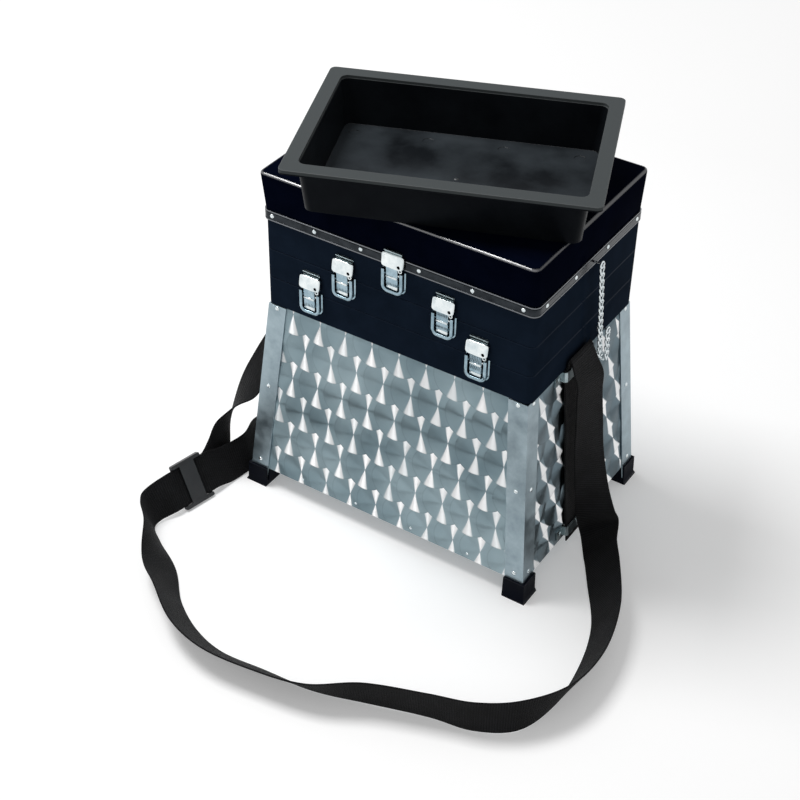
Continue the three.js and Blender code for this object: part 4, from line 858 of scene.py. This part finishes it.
def paint_tray_light(tree, coords, shader, upward):
    """The bait tray's painted light: above a level its rim is painted paler, a painted reflection of the
    bright surround, and made duller; its upward floor, well below that, gets painted light in patches."""
    height = add(tree, "SeparateXYZ", [coords]).outputs["Z"]
    above = add(tree, "MapRange", [height, TRAY_RIM_LEVEL - TRAY_RIM_BLEND, TRAY_RIM_LEVEL, 0.0, 1.0])
    flat = add(tree, "MapRange", [upward, 0.9, 0.97, 0.0, 1.0])
    levels = [TRAY_RIM_LEVEL - depth for depth in TRAY_FLOOR_DEPTHS]
    deep = add(tree, "MapRange", [height, *levels, 0.0, 1.0])
    floor = add(tree, "Math", [flat, deep], operation="MULTIPLY")
    # Painted light: grey patches on the upward-facing floor.
    broad = add(tree, "TexNoise", {"Vector": coords, "Scale": 9.0, "Detail": 5.0})
    wear_and_light = add(tree, "MapRange", [broad, 0.38, 0.62, 0.1, 1.0])
    floor_light = add(tree, "Math", [floor, wear_and_light], operation="MULTIPLY")
    plain = shader.inputs["Base Color"].links[0].from_socket
    low = {"Factor": floor_light, MIX_A: plain, MIX_B: tint(TRAY_FLOOR_LIT_COLOUR)}
    lit_floor = add(tree, "Mix", low, data_type="RGBA")
    # Painted reflection: the rim's paler colour above its level.
    high = {"Factor": above, MIX_A: lit_floor.outputs[MIXED], MIX_B: tint(TRAY_RIM_LIT_COLOUR)}
    lit_rim = add(tree, "Mix", high, data_type="RGBA")
    tree.links.new(lit_rim.outputs[MIXED], shader.inputs["Base Color"])
    plain = shader.inputs["Roughness"].links[0].from_socket
    dull = add(tree, "MapRange", [above, 0.0, 1.0, plain, TRAY_RIM_ROUGHNESS])
    tree.links.new(dull.outputs[0], shader.inputs["Roughness"])


def plastic(name, low, high, scale, rough, edge, shine, mirror, grain, tray=False):
    """Moulded plastic: near-even colour, a moulded grain of small cells, and edges softened by the mould.
    A blue-black pigment tints what a dark plastic mirrors, and handling polishes its upper edges, so
    they mirror more, the front ones most, where legs rub them. Shine is the specular level of the
    faces, the upper edges and the front's upper edge; mirror tints the first and the other two.
    Grain is how many cells lie along a metre, and their depth in millimetres."""
    made, tree, coords, shader = start_material(name)
    cells = add(tree, "TexVoronoi", {"Vector": coords, "Scale": grain[0]}, feature="SMOOTH_F1")
    rounded = finish_surface(tree, coords, shader, low, high, scale, rough, edge, (cells, grain[1]))
    facing = add(tree, "SeparateXYZ", [rounded])
    upward = facing.outputs["Z"]
    edge_shine = add(tree, "MapRange", [facing.outputs["Y"], -0.3, -0.6, shine[1], shine[2]])
    not_side = add(tree, "MapRange", [upward, 0.25, 0.45, 0.0, 1.0])
    not_top = add(tree, "MapRange", [upward, 0.94, 0.985, 1.0, 0.0])
    turned = add(tree, "Math", [not_side, not_top], operation="MULTIPLY")
    polish = add(tree, "MapRange", [turned, 0.0, 1.0, shine[0], edge_shine])
    tree.links.new(polish.outputs[0], shader.inputs["Specular IOR Level"])
    tints = {"Factor": turned, MIX_A: tint(mirror[0]), MIX_B: tint(mirror[1])}
    mirrored = add(tree, "Mix", tints, data_type="RGBA")
    tree.links.new(mirrored.outputs[MIXED], shader.inputs["Specular Tint"])
    if tray:
        paint_tray_light(tree, coords, shader, upward)
    return made


def shadowed_recess():
    """The unlit inside of a punched hole: near black and dull, so that it reads as depth."""
    made, tree, coords, shader = start_material("shadowed_recess")
    cells = add(tree, "TexVoronoi", {"Vector": coords, "Scale": 900.0}, feature="SMOOTH_F1")
    finish_surface(tree, coords, shader, "#020203", "#040405", 60.0, (0.7, 0.9), 0.2, (cells, 0.01))
    shader.inputs["Specular IOR Level"].default_value = 0.02
    shader.inputs["Specular Tint"].default_value = tint("#404040")
    return made


def plated(name, low, high, scale, rough, edge):
    """Plated steel pressing: clear reflections, faint handling marks, bright rounded edges."""
    made, tree, coords, shader = start_material(name)
    shader.inputs["Metallic"].default_value = 1.0
    marks = add(tree, "TexNoise", {"Vector": coords, "Scale": 260.0, "Detail": 3.0})
    finish_surface(tree, coords, shader, low, high, scale, rough, edge, (marks, 0.02))
    return made


BAND_LOW = 0.3867
BAND_HIGH = 0.3993
BAND_LIP = 0.0019
BAND_LIP_BLEND = 0.0007
STUD_ROOT = 0.174
STUD_BLEND = 0.0003


def anodised_band():
    """Dark anodised aluminium edging, brushed along its length, so the lines are fine in height only. Its
    two rounded lips get a pale painted highlight, and the chain's stud beyond its side face is zinc plated."""
    made, tree, coords, shader = start_material("anodised_edging")
    shader.inputs["Metallic"].default_value = 1.0
    drawn = add(tree, "Mapping", {"Vector": coords, "Scale": (12.0, 12.0, 1800.0)})
    lines = add(tree, "TexNoise", {"Vector": drawn, "Scale": 1.0, "Detail": 2.0})
    finish_surface(tree, coords, shader, "#1f2226", "#373b3f", 60.0, (0.22, 0.34), 0.3, (lines, 0.03))
    apart = add(tree, "SeparateXYZ", [coords])
    away = add(tree, "Math", [apart.outputs["Z"], (BAND_LOW + BAND_HIGH) / 2], operation="SUBTRACT")
    off = add(tree, "Math", [away], operation="ABSOLUTE")
    # Painted highlight: a pale strip along each of the two lips.
    lip_start = (BAND_HIGH - BAND_LOW) / 2 - BAND_LIP
    lip = add(tree, "MapRange", [off, lip_start, lip_start + BAND_LIP_BLEND, 0.0, 0.85])
    plain = shader.inputs["Base Color"].links[0].from_socket
    wear_and_light = add(tree, "Mix", {"Factor": lip, MIX_A: plain, MIX_B: tint("#7a7d81")}, data_type="RGBA")
    stud = add(tree, "MapRange", [apart.outputs["X"], STUD_ROOT, STUD_ROOT + STUD_BLEND, 0.0, 1.0])
    plating = {"Factor": stud, MIX_A: wear_and_light.outputs[MIXED], MIX_B: tint("#c8cdd0")}
    zinc = add(tree, "Mix", plating, data_type="RGBA")
    tree.links.new(zinc.outputs[MIXED], shader.inputs["Base Color"])
    return made


RIB_PITCH = 0.0029
YARN_PITCH = 0.0009


def woven_webbing():
    """Black polypropylene webbing, woven in cross ribs: the eye sees fine bars across its width, finer
    yarns along it, a dull sheen and worn, paler ribs. The yarns are drawn a little coarser than real.
    Height = the ribs' sine brought to 0 to 1, slipped by the yarns, plus a quarter of the yarns' sine."""
    made, tree, _, shader = start_material("woven_polypropylene_webbing")
    weave = add(tree, "Attribute", attribute_name="weave", attribute_type="GEOMETRY").outputs["Vector"]
    apart = add(tree, "SeparateXYZ", [weave])
    wide, run = apart.outputs["X"], apart.outputs["Y"]
    phase = add(tree, "Math", [wide, 2 * math.pi / YARN_PITCH], operation="MULTIPLY")
    yarns = add(tree, "Math", [phase], operation="SINE")
    slip = add(tree, "Math", [yarns, 0.9], operation="MULTIPLY")
    turns = add(tree, "Math", [run, 2 * math.pi / RIB_PITCH, slip], operation="MULTIPLY_ADD")
    ribs = add(tree, "Math", [turns], operation="SINE")
    lift = add(tree, "MapRange", [ribs, -1.0, 1.0, 0.0, 1.0])
    yarn = add(tree, "Math", [yarns, 0.25], operation="MULTIPLY")
    height = add(tree, "Math", [lift, yarn], operation="ADD")
    patch = add(tree, "TexNoise", {"Vector": weave, "Scale": 35.0, "Detail": 4.0})
    wear_and_light = add(tree, "MapRange", [patch, 0.35, 0.7, 0.2, 1.0])
    worn = add(tree, "Math", [wear_and_light, lift], operation="MULTIPLY")
    shades = {"Factor": worn, MIX_A: tint("#020203"), MIX_B: tint("#1e1f22")}
    colour = add(tree, "Mix", shades, data_type="RGBA")
    tree.links.new(colour.outputs[MIXED], shader.inputs["Base Color"])
    shader.inputs["Roughness"].default_value = 0.72
    shader.inputs["Specular IOR Level"].default_value = 0.12
    shader.inputs["Sheen Weight"].default_value = 0.03
    shader.inputs["Sheen Roughness"].default_value = 0.4
    bump = add(tree, "Bump", {"Height": height, "Distance": 0.0006, "Strength": 1.0})
    tree.links.new(bump.outputs[0], shader.inputs["Normal"])
    return made


swirl_front = engine_turned("engine_turned_aluminium_front", "X", 0.0, "#7d939c", "#b0c4cb")
# Painted shade: the side panels' copy of the same sheet is given darker colours than the front's.
swirl_side_shaded = engine_turned("engine_turned_aluminium_side_shaded", "Y", -0.51, "#6c7d86", "#8a99a0")
mill = mill_aluminium()
stage_gloss = plastic(
    "glossy_abs", "#161f2b", "#1b2533", 30.0, rough=(0.07, 0.13), edge=0.5,
    shine=(0.0003, 0.16, 0.16), mirror=("#7c8ca6", "#90a8d0"), grain=(90.0, 0.003),
)
lid_gloss = plastic(
    "grained_glossy_abs", "#030612", "#060a19", 30.0, rough=(0.1, 0.16), edge=2.0,
    shine=(0.0003, 0.8, 2.2), mirror=("#7080a0", "#ffffff"), grain=(620.0, 0.004),
)
tray_satin = plastic(
    "satin_polypropylene", "#0b0d10", "#15181b", 18.0, rough=(0.34, 0.46), edge=0.6,
    shine=(0.06, 0.5, 0.5), mirror=("#8088a0", "#ffffff"), grain=(900.0, 0.02), tray=True,
)
foot_grain = plastic(
    "grained_nylon", "#070910", "#0d0f18", 60.0, rough=(0.5, 0.68), edge=0.8,
    shine=(0.08, 0.4, 0.4), mirror=("#7c8ca6", "#ffffff"), grain=(1300.0, 0.06),
)
slider_black = plastic(
    "moulded_acetal", "#16171a", "#222326", 60.0, rough=(0.34, 0.46), edge=0.5,
    shine=(0.25, 0.6, 0.6), mirror=("#a0a6b0", "#ffffff"), grain=(1500.0, 0.02),
)
recess = shadowed_recess()
nickel = plated("bright_nickel", "#c6d2d6", "#eef3f3", 90.0, (0.1, 0.2), 0.25)
passivated = plated("passivated_zinc", "#7f98a4", "#a6bbc6", 110.0, (0.12, 0.22), 0.25)
zinc = plated("zinc_plated_steel", "#8b9a9e", "#aab8bb", 120.0, (0.25, 0.38), 0.25)
chain_plate = plated("bright_plated_chain", "#c4ced2", "#e6ecee", 150.0, (0.2, 0.3), 0.1)
edging = anodised_band()
strap_weave = woven_webbing()

FINISH = {
    "panel_front": swirl_front,
    "panel_back": swirl_front,
    "panel_left": swirl_side_shaded,
    "panel_right": swirl_side_shaded,
    "corner_angle": mill,
    "bin_floor": mill,
    "foot": foot_grain,
    "base_collar": stage_gloss,
    "tray_": stage_gloss,
    "lid_shell": lid_gloss,
    "lid_band": edging,
    "hinge": zinc,
    "latch": zinc,
    "strap_loop": zinc,
    "chain_stud": chain_plate,
    "bait_tray": tray_satin,
    "strap_slider": slider_black,
}


WELD = 1e-6
CREASE = math.radians(35)


def smooth_group():
    """A geometry group that joins a CAD mesh's loose triangles, shades it smooth and parts it again where
    two faces meet at more than 35 degrees, so the rounded forms read round and the edges stay crisp."""
    group = bpy.data.node_groups.new("smooth_forms", "GeometryNodeTree")
    group.interface.new_socket("Geometry", in_out="INPUT", socket_type="NodeSocketGeometry")
    group.interface.new_socket("Geometry", in_out="OUTPUT", socket_type="NodeSocketGeometry")
    new, link = group.nodes.new, group.links.new
    entry, leave = new("NodeGroupInput"), new("NodeGroupOutput")
    merge, smooth = new("GeometryNodeMergeByDistance"), new("GeometryNodeSetShadeSmooth")
    angle, sharp = new("GeometryNodeInputMeshEdgeAngle"), new("ShaderNodeMath")
    split = new("GeometryNodeSplitEdges")
    merge.inputs["Distance"].default_value = WELD
    sharp.operation = "GREATER_THAN"
    sharp.inputs[1].default_value = CREASE
    link(entry.outputs[0], merge.inputs["Geometry"])
    link(merge.outputs[0], smooth.inputs["Geometry"])
    link(smooth.outputs[0], split.inputs["Mesh"])
    link(angle.outputs["Unsigned Angle"], sharp.inputs[0])
    link(sharp.outputs[0], split.inputs["Selection"])
    link(split.outputs[0], leave.inputs[0])
    return group


def wear(made, finish):
    """Gives an object one material in its first slot."""
    if not made.data.materials:
        made.data.materials.append(finish)
    made.material_slots[0].link = "OBJECT"
    made.material_slots[0].material = finish


forms = smooth_group()
for name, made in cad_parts.items():
    match = [finish for start, finish in FINISH.items() if name.startswith(start)]
    if match:
        wear(made, match[0])
    made.modifiers.new("smooth_forms", "NODES").node_group = forms
for made in (shoulder, branch):
    wear(made, strap_weave)
for made in (links_upper, links_middle, links_lower):
    wear(made, chain_plate)
for made in (angle_rivets, band_rivets, panel_rivets):
    wear(made, nickel)
for made in latch_members:
    wear(made, nickel)
    made.data.materials.append(passivated)
    made.data.materials.append(recess)


# Floor, world and lamp

FLOOR_HALF = 8
FLOOR_COLOUR = (0.86, 0.86, 0.86, 1.0)
FLOOR_FADE = (1.0, 4.5)
FLOOR_GLOW = (0.25, 0.62)
WHITE = (1.0, 1.0, 1.0, 1.0)
FILL_STRENGTH = 0.42
KEY_TOWARD = (-0.425, -0.105, 0.899)
KEY_AIM = (0, 0, 0.25)
KEY_DISTANCE = 2.6
KEY_SIZE = 1.0
KEY_POWER = 50


def make_floor():
    """A plain pale floor that keeps the object's shadow; a camera or mirror ray sees it a little brighter,
    more so with distance, so that it meets the white background."""
    corners = [(x * FLOOR_HALF, y * FLOOR_HALF, 0) for x, y in ((-1, -1), (1, -1), (1, 1), (-1, 1))]
    mesh = bpy.data.meshes.new("studio_floor")
    mesh.from_pydata(corners, [], [(0, 1, 2, 3)])
    floor = bpy.data.objects.new("studio_floor", mesh)
    bpy.context.collection.objects.link(floor)
    made = bpy.data.materials.new("pale_floor")
    made.use_nodes = True
    tree = made.node_tree
    tree.nodes.clear()
    diffuse = add(tree, "BsdfDiffuse", {"Color": FLOOR_COLOUR})
    ray = add(tree, "LightPath")
    rays = [ray.outputs["Is Camera Ray"], ray.outputs["Is Glossy Ray"]]
    seen = add(tree, "Math", rays, operation="MAXIMUM")
    coords = add(tree, "TexCoord").outputs["Object"]
    reach = add(tree, "VectorMath", [coords], operation="LENGTH").outputs["Value"]
    fade = add(tree, "MapRange", [reach, *FLOOR_FADE, *FLOOR_GLOW])
    glow = add(tree, "Math", [seen, fade], operation="MULTIPLY")
    lift = add(tree, "Emission", {"Color": WHITE, "Strength": glow})
    both = add(tree, "AddShader", [diffuse, lift])
    add(tree, "OutputMaterial", {"Surface": both})
    mesh.materials.append(made)


def make_world():
    """A white surround at strength 1 for camera, mirror and glass rays, and a soft fill for the rest."""
    world = bpy.data.worlds.new("studio")
    bpy.context.scene.world = world
    world.use_nodes = True
    tree = world.node_tree
    tree.nodes.clear()
    ray = add(tree, "LightPath")
    rays = [ray.outputs["Is Glossy Ray"], ray.outputs["Is Transmission Ray"]]
    clear = add(tree, "Math", rays, operation="MAXIMUM")
    seen = add(tree, "Math", [ray.outputs["Is Camera Ray"], clear], operation="MAXIMUM")
    strength = add(tree, "MapRange", [seen, 0.0, 1.0, FILL_STRENGTH, 1.0])
    light = add(tree, "Background", {"Color": WHITE, "Strength": strength})
    add(tree, "OutputWorld", {"Surface": light})


def make_lamp():
    """A square soft lamp, so far from the middle of the box in its direction, facing it."""
    data = bpy.data.lights.new("key_lamp", "AREA")
    data.size = KEY_SIZE
    data.energy = KEY_POWER
    made = bpy.data.objects.new("key_lamp", data)
    way = Vector(KEY_TOWARD).normalized()
    made.location = Vector(KEY_AIM) + way * KEY_DISTANCE
    made.rotation_mode = "QUATERNION"
    made.rotation_quaternion = way.to_track_quat("Z", "Y")
    bpy.context.collection.objects.link(made)


make_floor()
make_world()
make_lamp()
bpy.context.scene.view_settings.view_transform = "Standard"
